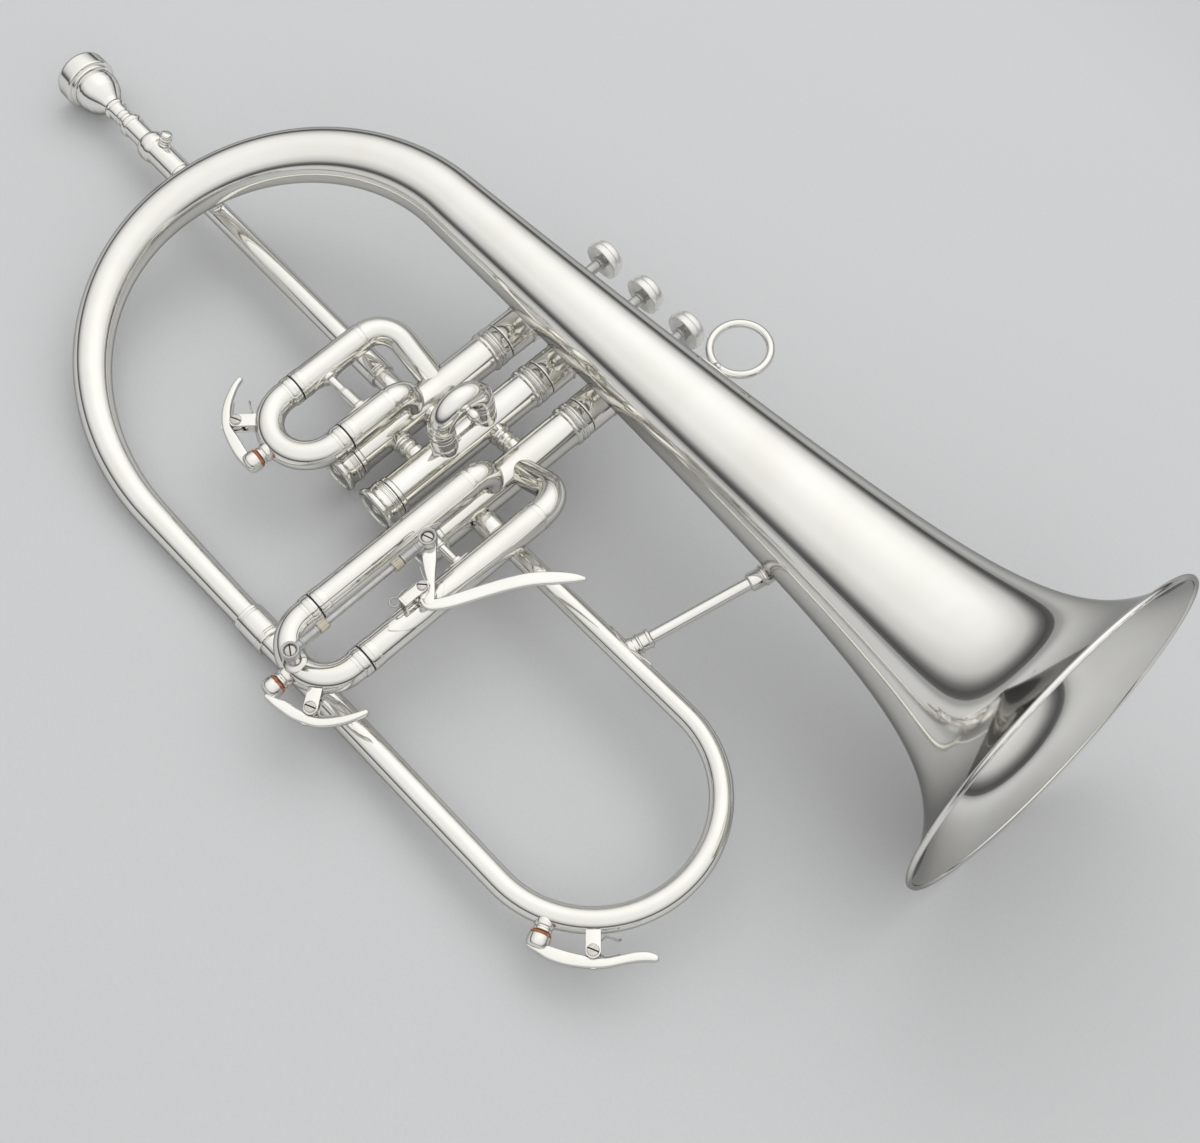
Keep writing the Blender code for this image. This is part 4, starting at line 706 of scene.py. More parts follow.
def lead(distance):
    return leadStart + leadAxis * distance


leadTube = drawTube([lead(4.0), lead(leadSet["end"])], leadSet["radius"], sides=48)
settle(cutAway(leadTube, casingTool(valveX[0])), "leadTube", "horn", silverPlate, "leadpipe")
bandSet = {"at": 22.0, "inner": 4.7, "outer": 6.05, "length": 17.0, "lines": (1.4, 2.5, 14.5, 15.6)}
leadBand = bandRing(lead(bandSet["at"]), leadAxis, bandSet["inner"], bandSet["outer"], bandSet["length"],
                    bandSet["lines"])
settle(leadBand, "leadFerruleBand", "horn", silverPlate, "leadpipe_ferrule")
sleeveProfile = [(5.2, 0), (5.8, 0), (6.15, 0.4), (6.15, 4.0), (5.95, 4.3), (5.95, 4.7), (6.15, 5.0),
                 (6.15, 22.2), (6.5, 22.8), (7.0, 23.6), (7.2, 24.8), (7.2, 27.4), (6.9, 28.8), (6.2, 29.8),
                 (5.2, 30.0)]
sleeve = turned(sleeveProfile, lead(leadSet["sleeveStart"]), leadAxis, steps=64, soft=0.3, closed=True)
clampAxis = Vector((0.0, 0.5, math.sqrt(0.75)))
clampFoot = lead(leadSet["clampAt"])
boss = turned([(0, 5.6), (3.1, 5.6), (2.9, 6.6), (2.6, 7.0), (2.6, 7.9), (2.3, 8.2), (0, 8.2)],
              clampFoot, clampAxis, steps=40, soft=0.2)
settle(joinAll(sleeve, boss), "leadSleeveBarrel", "horn", silverPlate, "leadpipe_sleeve")
clampHead = turned([(0, 5.3), (1.3, 5.3), (1.3, 8.5), (2.3, 8.5), (2.9, 8.9), (2.9, 9.4), (2.2, 9.7),
                    (2.2, 10.0), (2.7, 10.3), (2.8, 11.4), (2.3, 12.2), (1.2, 12.5), (0, 12.5)],
                   clampFoot, clampAxis, steps=40, soft=0.25)
settle(clampHead, "clampThumbScrew", "clamp_screw", silverPlate, "clamp_screw")
shankProfile = [(4.0, 0), (4.9, 0), (4.9, 31.2), (5.3, 31.5), (5.75, 32.0), (5.75, 33.8), (5.3, 34.5),
                (4.0, 34.7)]
shank = turned(shankProfile, lead(leadSet["shankStart"]), leadAxis, soft=0.3, closed=True)
settle(shank, "tuningShankTube", "tuning_shank", silverPlate, "tuning_shank")
mouthProfile = [
    (2.9, 0), (3.7, 0), (3.7, 20.3), (4.1, 20.4), (4.15, 22.6), (3.75, 23.0), (3.75, 23.4), (4.2, 23.8),
    (4.2, 25.2), (3.8, 25.6), (3.8, 26.0), (4.25, 26.4), (4.3, 30.2), (4.8, 30.6), (5.4, 31.2), (5.4, 32.0),
    (4.9, 32.6), (4.6, 33.2), (5.2, 35.0), (7.0, 37.5), (9.0, 40.5), (10.2, 44.0), (10.5, 46.5), (10.3, 48.5),
    (10.0, 49.2), (11.3, 49.6), (11.4, 50.6), (11.0, 51.0), (11.0, 51.3), (12.3, 51.7), (12.6, 52.3),
    (12.6, 59.4), (12.2, 60.4), (11.3, 60.95), (10.4, 61.0), (9.4, 60.6), (8.8, 59.6), (8.4, 57.6),
    (8.3, 55.0), (7.6, 50.0), (5.8, 44.0), (4.0, 39.5), (2.1, 37.0), (2.1, 33.0)]
mouthpiece = turned(mouthProfile, lead(leadSet["mouthStart"]), leadAxis, steps=88, soft=0.5, closed=True)
settle(mouthpiece, "mouthpieceCup", "mouthpiece", silverPlate, "mouthpiece")
print("leadpipe and mouthpiece made")

# long slides: fixed sleeves, crooks that pull out, near-black rings that paint the shade in the gaps, and a
# stay between the legs
slideSet = {"z": -12.0, "leg": 5.05, "straight": 6.3, "bend": 6.0, "crook": 6.1, "ferrule": 6.55,
            "insert": 20.0, "elbow": 9.0, "portBend": 13.0, "gap": 0.1, "ring": 0.6, "drop": 6.5}


def slideSleeve(x, gapY, corner, port, bendRadius):
    # a straight sleeve with a mouth band, stepping down to the bent tube that meets the casing
    axisSpot = Vector((port[0], port[1], bellSet["valveZ"]))
    end = axisSpot + (corner - axisSpot).normalized() * 4.5
    path = roundedPath([Vector((x, gapY, slideSet["z"])), corner, end], bendRadius)
    straight = (path[1] - path[0]).length
    wide, thin, band = slideSet["straight"], slideSet["bend"], slideSet["ferrule"]
    sizes = [(0.0, band - 0.2), (0.3, band), (1.5, band), (1.6, band - 0.15), (1.9, band - 0.15), (2.0, band),
             (4.7, band), (5.0, band - 0.15), (5.02, wide), (straight - 2.4, wide),
             (straight - 2.38, wide - 0.15), (straight - 2.1, wide - 0.15), (straight - 2.08, wide),
             (straight - 0.3, wide), (straight, wide - 0.2), (straight + 0.02, thin), (straight + 80, thin)]
    tube = drawTube(path, sizes, sides=44, wall=0.8)
    return cutAway(tube, casingTool(port[0]))


def slideCrook(nearX, farX, gapY, body, name, node):
    ringTop = gapY - slideSet["gap"]
    half = abs(farX - nearX) / 2
    centre = Vector(((nearX + farX) / 2, gapY - slideSet["drop"], slideSet["z"]))
    outward = xAxis if farX > nearX else -xAxis
    path = [Vector((farX, gapY + slideSet["insert"], slideSet["z"]))]
    path += arcPoints(centre, half, outward, -yAxis, math.pi, 40)
    path += [Vector((nearX, gapY + slideSet["insert"], slideSet["z"]))]
    total = runsAlong(path)[-1]
    start = slideSet["insert"] + slideSet["gap"] + slideSet["ring"]
    leg, band, tube = slideSet["leg"], slideSet["ferrule"], slideSet["crook"]
    sizes = [(0.0, leg - 0.3), (0.3, leg), (start - 0.02, leg), (start, band - 0.2), (start + 0.25, band),
             (start + 1.2, band), (start + 1.3, band - 0.15), (start + 1.6, band - 0.15), (start + 1.7, band),
             (start + 3.4, band), (start + 3.7, band - 0.2), (start + 3.72, tube), (start + 4.8, tube),
             (start + 4.9, tube - 0.14), (start + 5.15, tube - 0.14), (start + 5.25, tube)]
    sizes += [(total - at, radius) for at, radius in sizes[::-1]]
    settle(drawTube(path, sizes, sides=44), name, body, silverPlate, node, angle=40)
    # a near-black ring in each gap between sleeve and crook stands in for the gap's shadow: painted shade
    thick = slideSet["ring"]
    ringProfile = [(leg - 0.1, 0), (6.2, 0), (6.38, 0.15), (6.38, 0.45), (6.2, thick), (leg - 0.1, thick)]
    rings = [turned(ringProfile, (x, ringTop, slideSet["z"]), -yAxis, closed=True) for x in (nearX, farX)]
    settle(joinAll(*rings), name + "GapShadeRings", body, gapShade)
    return centre, half


def slideStay(lowX, highX, y, thickFirst, name, node):
    # a stay in two thicknesses, with a pointed plate on each leg
    reach = highX - lowX - 2 * slideSet["straight"]
    middle = reach * 0.46
    sizes = (2.6, 2.0) if thickFirst else (2.0, 2.6)
    profile = [(0, -1.2), (3.5, -1.2), (3.5, 0.9), (3.2, 1.2), (sizes[0], 1.6), (sizes[0], middle - 0.6),
               (sizes[0] + 0.3, middle - 0.3), (sizes[0] + 0.3, middle + 0.3), (sizes[1], middle + 0.7),
               (sizes[1], reach - 1.6), (3.2, reach - 1.2), (3.5, reach - 0.9), (3.5, reach + 1.2),
               (0, reach + 1.2)]
    stay = turned(profile, (lowX + slideSet["straight"], y, slideSet["z"]), xAxis, steps=40, soft=0.25)
    skins = [tubeSkin((lowX, y, slideSet["z"]), yAxis, xAxis, slideSet["straight"]),
             tubeSkin((highX, y, slideSet["z"]), yAxis, -xAxis, slideSet["straight"])]
    plates = [wrapPlate(skin, 8.0, 4.4, 0.45) for skin in skins]
    settle(joinAll(stay, *plates), name, "horn", silverPlate, node)


longSlides = {
    "first": {"valve": 0, "farX": -321.5, "gapY": -104.0, "farPort": -55.0, "nearPort": -71.0,
              "stayY": -91.0},
    "third": {"valve": 2, "farX": -205.5, "gapY": -162.5, "farPort": -58.0, "nearPort": -72.0,
              "stayY": -109.5}}
crookBends = {}
for name, made in longSlides.items():
    nearX = valveX[made["valve"]]
    for side, x, portY, bend in (("Far", made["farX"], made["farPort"], slideSet["portBend"]),
                                 ("Near", nearX, made["nearPort"], slideSet["elbow"])):
        tube = slideSleeve(x, made["gapY"], Vector((x, portY, slideSet["z"])), (nearX, portY), bend)
        settle(tube, f"{name}Sleeve{side}", "horn", silverPlate, f"{name}_slide_sleeve_{side.lower()}",
               angle=40)
    crookBends[name] = slideCrook(nearX, made["farX"], made["gapY"], f"{name}_slide", f"{name}Crook",
                                  f"{name}_slide_crook")
    low, high = sorted((nearX, made["farX"]))
    slideStay(low, high, made["stayY"], name == "third", f"{name}SlideStay", f"{name}_slide_brace")

# second slide: two stubs off the casing and a close-bent crook with a pull knob
secondSet = {"x": valveX[1], "middle": -63.5, "half": 10.7, "radius": 5.6, "gap": -12.0, "leg": 4.45}
for side, y in (("Lower", secondSet["middle"] - secondSet["half"]),
                ("Upper", secondSet["middle"] + secondSet["half"])):
    path = [Vector((secondSet["x"], y, -25.0)), Vector((secondSet["x"], y, secondSet["gap"]))]
    length = (path[1] - path[0]).length
    r = secondSet["radius"]
    sizes = [(0.0, r + 0.35), (4.3, r + 0.35), (4.6, r + 0.1), (4.62, r - 0.15), (length - 4.2, r - 0.15),
             (length - 4.18, r + 0.1), (length - 3.9, r + 0.3), (length - 2.2, r + 0.3),
             (length - 2.1, r + 0.15), (length - 1.8, r + 0.15), (length - 1.7, r + 0.3),
             (length - 0.25, r + 0.3), (length, r + 0.1)]
    stub = cutAway(drawTube(path, sizes, sides=44, wall=0.75), casingTool(secondSet["x"]))
    settle(stub, f"secondStub{side}", "horn", silverPlate, f"second_slide_sleeve_{side.lower()}")
seat = secondSet["gap"] + 0.3
secondCentre = Vector((secondSet["x"], secondSet["middle"], seat + 1.0))
path = [Vector((secondSet["x"], secondSet["middle"] - secondSet["half"], secondSet["gap"] - 7.5))]
path += arcPoints(secondCentre, secondSet["half"], -yAxis, zAxis, math.pi, 36)
path += [Vector((secondSet["x"], secondSet["middle"] + secondSet["half"], secondSet["gap"] - 7.5))]
total = runsAlong(path)[-1]
r, leg = secondSet["radius"], secondSet["leg"]
sizes = [(0.0, leg - 0.3), (0.3, leg), (7.78, leg), (7.8, r + 0.1), (8.05, r + 0.3), (9.6, r + 0.3),
         (9.7, r + 0.15), (10.0, r + 0.15), (10.1, r + 0.3), (11.2, r + 0.3), (11.45, r + 0.1),
         (11.47, r - 0.05)]
sizes += [(total - at, radius) for at, radius in sizes[::-1]]
secondCrook = drawTube(path, sizes, sides=48)
crown = secondCentre + zAxis * secondSet["half"]
knob = turned([(0, 4.6), (2.3, 4.8), (2.1, 5.6), (1.4, 6.0), (1.35, 6.9), (1.9, 7.3), (2.45, 8.3), (2.6, 9.6),
               (2.4, 10.9), (1.7, 12.0), (0.8, 12.4), (0, 12.45)], crown, xAxis, steps=40, soft=0.4)
settle(joinAll(secondCrook, knob), "secondCrook", "second_slide", silverPlate, "second_slide_crook", angle=40)
print("slides made")

# water keys: the lever's line and half widths follow the real crescent, in the horn's flat axes
keySet = {"pivotHeight": 7.5, "plate": 2.8, "edge": 0.9, "lug": 0.75, "ear": 1.1, "earHalf": 2.9,
          "wire": 0.33, "coil": 1.75, "coilLow": 1.12, "coilHigh": 1.36}


def nodeName(name):
    return name.replace("Key", "_key")


def waterKey(name, centre, bend, tube, angles, line, widths, fixedBody, keyBody):
    corkAngle, pivotAngle = (math.radians(angle) for angle in angles)

    def spot(angle, height, z=0.0):
        reach = bend + tube + height
        return centre + Vector((math.cos(angle) * reach, math.sin(angle) * reach, z))

    corkOut = (spot(corkAngle, 1.0) - spot(corkAngle, 0.0)).normalized()
    pivotOut = (spot(pivotAngle, 1.0) - spot(pivotAngle, 0.0)).normalized()
    pivot = spot(pivotAngle, keySet["pivotHeight"])
    along = zAxis.cross(pivotOut)

    # nipple and saddle stay with the tube
    nippleProfile = [(0, -2.2), (4.3, -2.2), (4.0, 0.2), (3.9, 0.7), (3.5, 1.0), (3.4, 1.6), (3.75, 1.9),
                     (3.75, 2.6), (3.4, 3.0), (2.2, 3.0), (2.0, 1.4), (0, 1.4)]
    nipple = turned(nippleProfile, spot(corkAngle, 0.0), corkOut, steps=48, soft=0.2)
    gap = keySet["plate"] / 2 + 0.3
    earTurn = Matrix((along, pivotOut, along.cross(pivotOut))).transposed().to_4x4()
    earPlace = Matrix.Translation(spot(pivotAngle, 0.0)) @ earTurn
    height, half = keySet["pivotHeight"], keySet["earHalf"]
    outline = [(half, -2.2), (half, height)]
    outline += [(half * math.cos(math.pi * i / 14),
                 height + half * math.sin(math.pi * i / 14)) for i in range(1, 14)]
    outline += [(-half, height), (-half, -2.2)]
    earLows = (gap, -gap - keySet["ear"])
    ears = [putAt(cutPlate(outline, keySet["ear"], 0.2, low), earPlace) for low in earLows]
    outer = gap + keySet["ear"]
    web = cutPlate([(half - 0.15, -1.5), (half - 0.15, 2.7), (0.15 - half, 2.7), (0.15 - half, -1.5)],
                   2 * gap + 0.6, 0.2, -gap - 0.3)
    settle(joinAll(nipple, putAt(web, earPlace), *ears), name + "Saddle", fixedBody, silverPlate,
           f"{nodeName(name)}_saddle")
    pin = turned([(0, -outer - 0.8), (1.5, -outer - 0.8), (1.7, -outer - 0.4), (1.7, -outer),
                  (1.05, -outer + 0.05), (1.05, outer), (0, outer)], pivot, zAxis, steps=32, soft=0.15)
    pin.data.materials.append(nickelScrew)
    head = slotScrew(2.45, 1.2, pivot + zAxis * outer, zAxis, Vector((0.9, 0.4, 0)), dome=0.3, slotWidth=0.6)
    settle(joinAll(pin, head), name + "Screw", fixedBody, nickelScrew)

    # lever: a crescent with a lug on the screw and a domed cup on its inner side
    half = keySet["plate"] / 2
    arm = cutPlate(stripOutline(line, widths, 6), keySet["plate"], keySet["edge"], centre.z - half)
    nearest = min(smoothLine([(x, y, centre.z) for x, y in line], 6),
                  key=lambda place: (place - pivot).length)
    lug = cutPlate(stripOutline([pivot.xy, pivot.lerp(nearest, 0.5).xy, nearest.xy], (2.2, 2.3, 2.5), 5),
                   2 * keySet["lug"], 0.25, centre.z - keySet["lug"])
    lugHalf = keySet["lug"]
    boss = turned([(1.35, -lugHalf), (2.55, -lugHalf), (2.55, lugHalf), (1.35, lugHalf)], pivot, zAxis,
                  steps=40, soft=0.25, closed=True)
    cupAt = spot(corkAngle, 3.0)
    cup = turned([(4.0, 1.5), (4.25, 1.5), (4.4, 1.8), (4.45, 3.6), (4.3, 5.0), (3.8, 6.0), (2.7, 6.6),
                  (1.2, 6.85), (0, 6.9)],
                 cupAt, corkOut, steps=56, soft=0.35)
    settle(joinAll(arm, lug, boss, cup), name + "Lever", keyBody, silverPlate, f"{nodeName(name)}_lever",
           angle=40)
    cork = turned([(0, 0.3), (3.9, 0.3), (4.2, 0.6), (4.2, 1.9), (0, 1.9)], cupAt, corkOut, steps=48,
                  soft=0.3)
    settle(cork, name + "CorkPad", keyBody, redCork, f"{nodeName(name)}_cork")

    # hairpin spring: a coil on each side of the lug, a loop against the tube, and two legs along the lever
    fingerWay = along * (1 if (Vector(line[0]) - Vector(line[-1])).dot(along.xy) > 0 else -1)
    loop, legs = [], []
    for side in (1, -1):
        turns = []
        for step in range(25):
            angle = 2 * math.pi * step / 16
            lift = side * (keySet["coilLow"] + (keySet["coilHigh"] - keySet["coilLow"]) * step / 24)
            swing = fingerWay * math.cos(angle) - pivotOut * math.sin(angle)
            turns.append(pivot + swing * keySet["coil"] + zAxis * lift)
        rest = spot(pivotAngle, 1.3, side * keySet["coilHigh"]) + fingerWay * 4.4
        far = spot(pivotAngle, 2.8, 0.0) + fingerWay * 9.0
        leg = turns + [rest, far + zAxis * side * keySet["coilHigh"]]
        if side == 1:
            loop = leg + arcPoints(far, keySet["coilHigh"], zAxis, fingerWay, math.pi, 8)[1:-1]
        else:
            loop += leg[::-1]
        edge = []
        for place in smoothLine([(*place, width) for place, width in zip(line, widths)], 4):
            reach = (place.xy - pivot.xy).dot(fingerWay.xy)
            if 3.0 < reach < 10.5:
                lift = zAxis * (centre.z + side * 0.8)
                edge.append(Vector((place.x, place.y, 0)) - pivotOut * (place.z + 2 * keySet["wire"]) + lift)
        legs.append(drawTube([turns[0], *edge[::-1]], keySet["wire"], sides=10))
    settle(drawTube(loop, keySet["wire"], sides=10), name + "Wire", fixedBody, springWire, angle=60)
    settle(joinAll(*legs), name + "WireLegs", keyBody, springWire, angle=60)


firstBend, firstHalf = crookBends["first"]
thirdBend, thirdHalf = crookBends["third"]
keyLines = {
    "firstKey": [(-341.1, -118.9), (-340.2, -121.7), (-337.8, -126.1), (-334.9, -130.2), (-331.0, -134.0),
                 (-326.0, -137.2), (-320.0, -139.0), (-313.6, -140.4), (-308.0, -141.3), (-303.6, -142.0)],
    "thirdKey": [(-187.6, -177.4), (-188.5, -180.0), (-189.9, -183.3), (-191.5, -186.3), (-194.3, -190.4),
                 (-197.8, -194.0), (-202.4, -196.3), (-206.7, -197.8), (-211.4, -198.8), (-214.9, -200.0),
                 (-219.4, -200.9)],
    "lowerKey": [(-44.8, -159.7), (-47.0, -161.3), (-49.9, -164.6), (-53.1, -169.6), (-56.3, -174.6),
                 (-61.0, -179.0), (-66.9, -183.4), (-72.4, -186.5), (-76.3, -188.1), (-80.6, -190.2)]}
keyWidths = {"firstKey": (1.2, 1.3, 1.5, 1.7, 1.9, 2.05, 2.45, 2.6, 2.2, 1.2),
             "thirdKey": (1.2, 1.4, 1.6, 1.75, 1.8, 1.9, 2.15, 2.4, 2.4, 1.8, 1.2),
             "lowerKey": (1.5, 1.85, 1.9, 1.8, 1.85, 2.3, 2.6, 2.6, 2.2, 1.2)}
for name, bendAt, half, tube, angles, fixedBody, keyBody in (
        ("firstKey", firstBend, firstHalf, slideSet["crook"], (-92, -132), "first_slide", "first_key"),
        ("thirdKey", thirdBend, thirdHalf, slideSet["crook"], (-90, -52), "third_slide", "third_key"),
        ("lowerKey", lowerCentre, lowerBend, lowerRadiusAt(lowerSet["bendX"]) + 0.1, (-63, -43), "horn",
         "lower_key")):
    waterKey(name, bendAt, half, tube, angles, keyLines[name], keyWidths[name], fixedBody, keyBody)
print("water keys made")

# third-slide trigger
triggerSet = {"armEnd": (-221.5, -114.5), "thickness": 2.5, "legX": -205.5}
low = triggerPivot.z - triggerSet["thickness"] / 2
pivotSpot = (triggerPivot.x, triggerPivot.y, 0)
armLine = [triggerSet["armEnd"], (-218.6, -117.0), (-215.4, -119.3), (-211.2, -122.6), (-206.4, -126.0),
           (-203.6, -128.6), (-201.6, -131.2)]
armPlate = cutPlate(stripOutline(armLine, (3.2, 3.0, 2.75, 2.1, 1.35, 1.5, 2.1), 8), triggerSet["thickness"],
                    0.35, low)
hubPlate = cutPlate(stripOutline([(-207.5, -129.5), (-204.8, -130.8), (-202.0, -131.8)], (2.9, 2.2, 1.9), 8),
                    triggerSet["thickness"] - 0.2, 0.3, low + 0.1)
fingerLine = [(-203.6, -133.0), (-200.4, -132.2), (-196.6, -127.0), (-193.1, -119.7), (-189.5, -111.7),
              (-185.5, -103.6), (-180.9, -96.0), (-175.1, -89.2), (-169.9, -83.9), (-167.0, -81.4)]
fingerPlate = cutPlate(stripOutline(fingerLine, (1.5, 2.3, 2.6, 2.75, 2.8, 2.85, 2.9, 2.7, 2.0, 1.1), 8), 2.3,
                       0.95, low + 0.1)
hub = turned([(1.6, low), (3.4, low), (3.4, low + 2.5), (1.6, low + 2.5)], pivotSpot, zAxis, steps=48,
             soft=0.3, closed=True)
armSpot = Vector((*triggerSet["armEnd"], 0))
bossProfile = [(0, low - 0.4), (3.2, low - 0.4), (3.4, low), (3.4, 0.85), (1.3, 0.9), (1.3, 2.9), (0, 2.9)]
armBoss = turned(bossProfile, armSpot, zAxis, steps=48, soft=0.2)
settle(joinAll(armPlate, hubPlate, fingerPlate, hub, armBoss), "triggerLever", "trigger", silverPlate,
       "trigger_lever", angle=40)
armWire = drawTube([(-206.9, -127.6, 0.3), (-210.6, -126.4, 0.4), (-214.6, -124.8, 0.5),
                    (-215.2, -124.3, 0.5)], 0.35, sides=10)
settle(armWire, "triggerArmWire", "trigger", springWire, angle=60)

# saddle: a boat-shaped foot on the slide leg, a block under the lever and a strap bridging over its screw
legAxis = Vector((triggerSet["legX"], -135.5, slideSet["z"]))
foot = wrapPlate(tubeSkin(legAxis, yAxis, zAxis, slideSet["straight"]), 14.5, 6.6, 0.8, power=2.4)
block = cutPlate([(-210.6, -134.6), (-203.2, -134.6), (-202.4, -133.6), (-202.4, -127.4), (-203.4, -126.4),
                  (-210.2, -126.4), (-211.2, -127.4), (-211.2, -133.8)], 3.9, 0.4, -6.1)
post = turned([(0, -5.6), (3.0, -5.6), (3.0, -2.6), (2.6, -2.1), (0, -2.1)], pivotSpot, zAxis, steps=44,
              soft=0.25)
strapHalf, strapEnd = 2.2, -139.0
strap = cutPlate([(-strapHalf, strapEnd), (strapHalf, strapEnd)]
                 + [(strapHalf * math.cos(math.pi * i / 12),
                     triggerPivot.y + strapHalf * math.sin(math.pi * i / 12)) for i in range(13)],
                 1.0, 0.2, 1.2)
strap = putAt(strap, Matrix.Translation((triggerPivot.x, 0, 0)))
strapLeg = cutPlate([(-strapHalf, -6.4), (strapHalf, -6.4), (strapHalf, 2.1), (-strapHalf, 2.1)], 1.0, 0.2)
strapLeg = putAt(strapLeg, facing((triggerPivot.x, strapEnd + 0.1, 0), -yAxis, xAxis))
settle(joinAll(foot, block, post, strap, strapLeg), "triggerSaddle", "horn", silverPlate, "trigger_saddle")
pivotShank = turned([(0, -4.5), (1.3, -4.5), (1.3, 2.3), (0, 2.3)], pivotSpot, zAxis, steps=28, soft=0.2)
pivotShank.data.materials.append(nickelScrew)
pivotHead = slotScrew(2.2, 1.4, Vector((triggerPivot.x, triggerPivot.y, 2.15)), zAxis, Vector((1, 0.9, 0)),
                      dome=0.45, slotWidth=0.6)
settle(joinAll(pivotShank, pivotHead), "triggerPivotScrew", "horn", nickelScrew, "trigger_pivot_screw")

# keyhole loop of the return spring beside the strap
loopSpot = Vector((-211.0, -141.3, -0.8))
loopPath = [Vector((-211.6, -130.6, -0.9)), Vector((-211.0, -136.6, -0.9))]
loopPath += arcPoints(loopSpot, 2.0, Vector((0.92, 0.4, 0)).normalized(),
                      Vector((0.4, -0.92, 0)).normalized(), math.pi * 1.55, 24)
loopPath += [Vector((-212.3, -137.0, -0.6)), Vector((-212.2, -134.2, -0.6))]
settle(drawTube(loopPath, 0.48, sides=10), "triggerReturnWire", "horn", springWire, angle=60)

# link rod between the crook's post and the trigger arm
linkSet = {"z": 2.55, "ridges": 8, "ridgeStep": 0.75, "nutAt": 16.0}
rodStart = Vector((thirdBend.x, thirdBend.y - thirdHalf, linkSet["z"]))
rodEnd = Vector((*triggerSet["armEnd"], linkSet["z"]))
rodAxis = (rodEnd - rodStart).normalized()
rodLength = (rodEnd - rodStart).length
socket = [(2.3, 5.4), (2.3, 6.0), (2.1, 6.3)]
for ridge in range(linkSet["ridges"]):
    socket += [(2.15, 6.6 + linkSet["ridgeStep"] * ridge), (2.02, 6.98 + linkSet["ridgeStep"] * ridge)]
socket += [(2.15, 12.6), (2.3, 12.9), (2.3, 13.4), (1.45, 13.6)]
rodProfile = [(0, 3.0), (1.9, 3.0), (2.0, 5.0), *socket]
rodProfile += [(radius, rodLength - at) for radius, at in rodProfile[::-1]]
rodBar = turned(rodProfile, rodStart, rodAxis, steps=36)
eyeProfile = [(2.5, -1.5), (3.5, -1.5), (3.8, -1.2), (3.8, 1.9), (3.5, 2.3), (3.0, 2.3), (2.5, 1.8)]
eyes = [turned(eyeProfile, place, zAxis, steps=48, soft=0.2, closed=True) for place in (rodStart, rodEnd)]
settle(joinAll(rodBar, *eyes), "linkRodBar", "link_rod", satinRod, "trigger_link_rod")
nutProfile = [(1.3, -2.2), (2.2, -2.2), (2.55, -1.8), (2.55, 1.8), (2.2, 2.2), (1.3, 2.2)]
nuts = [turned(nutProfile, rodStart + rodAxis * at, rodAxis, steps=40, closed=True, knurl=(-1.9, 1.9, 0.16))
        for at in (linkSet["nutAt"], rodLength - linkSet["nutAt"])]
settle(joinAll(*nuts), "linkRodNuts", "link_rod", brassNut, angle=25)
settle(slotScrew(2.36, 1.2, rodEnd + zAxis * 0.5, zAxis, Vector((1, 0.35, 0)), dome=0.35, slotWidth=0.6),
       "linkEyeScrew", "link_rod", nickelScrew)
rodPost = turned([(0, -7.0), (5.0, -7.0), (4.9, -6.2), (3.8, -5.4), (2.9, -4.8), (2.7, 0.2), (2.4, 0.7),
                  (1.3, 0.75), (1.3, 2.9), (0, 2.9)], (rodStart.x, rodStart.y, 0), zAxis, steps=44, soft=0.3)
settle(rodPost, "crookRodPost", "third_slide", silverPlate)
settle(slotScrew(2.36, 1.2, rodStart + zAxis * 0.5, zAxis, Vector((1, -0.6, 0)), dome=0.35, slotWidth=0.6),
       "crookPostScrew", "third_slide", nickelScrew)
print("trigger made")

# bell brace
braceSet = {"foot": (-143.8, -84.0, -30.0), "head": (-124.8, -17.0, -20.0), "rod": 2.6, "socket": 3.65,
            "bead": 4.2, "sink": 0.4}
braceFoot, braceHead = Vector(braceSet["foot"]), Vector(braceSet["head"])
rodSize, socketSize, beadSize = braceSet["rod"], braceSet["socket"], braceSet["bead"]
braceAxis = (braceHead - braceFoot).normalized()
braceLength = (braceHead - braceFoot).length
legRadius = lowerRadiusAt(braceFoot.x)
footProfile = [(0, 3.4), (socketSize + 0.5, 3.4), (socketSize + 0.4, 5.4), (socketSize + 0.1, 5.8),
               (socketSize, 7.4), (beadSize, 7.7), (beadSize, 8.4), (socketSize, 8.7), (socketSize, 11.6),
               (beadSize - 0.1, 11.9), (beadSize - 0.1, 12.8), (socketSize - 0.1, 13.2), (rodSize, 13.4)]
headProfile = [(rodSize, -12.4), (socketSize - 0.2, -12.2), (socketSize + 0.3, -11.8),
               (socketSize + 0.3, -7.2), (socketSize, -6.9), (socketSize, -6.5), (beadSize + 0.3, -6.2),
               (beadSize + 0.4, -5.4), (beadSize, -4.9), (socketSize + 0.3, -1.6), (beadSize + 0.4, -1.2),
               (beadSize + 0.5, 4.0), (0, 4.0)]
braceProfile = footProfile + [(radius, braceLength + along) for radius, along in headProfile]
braceRod = turned(braceProfile, braceFoot, braceAxis, steps=48, soft=0.2)
bellCut = range(90, 172, 2)
cutSizes = [(d - bellCut[0], bellRadius(d) - braceSet["sink"]) for d in bellCut]
bellTool = drawTube([Vector((-d, 0, 0)) for d in bellCut], cutSizes, sides=bellSet["sides"])
braceRod = cutAway(braceRod, bellTool)
legPlate = wrapPlate(tubeSkin(braceFoot, xAxis, braceAxis, legRadius), 12.0, 4.6, 0.5)


class bellSkin:
    # the bell's outside near a spot, as along and around distances
    def __init__(self, spot):
        self.x = spot.x
        self.turn = math.atan2(spot.z, spot.y)
        self.middle = Vector((spot.x, 0, 0))

    def __call__(self, along, around):
        radius = bellRadius(-(self.x + along))
        turn = self.turn + around / radius
        return Vector((self.x + along, radius * math.cos(turn), radius * math.sin(turn)))


bellPlate = wrapPlate(bellSkin(braceHead), 11.0, 5.4, 0.5)
settle(joinAll(braceRod, legPlate, bellPlate), "bellBrace", "horn", silverPlate, "bell_brace")

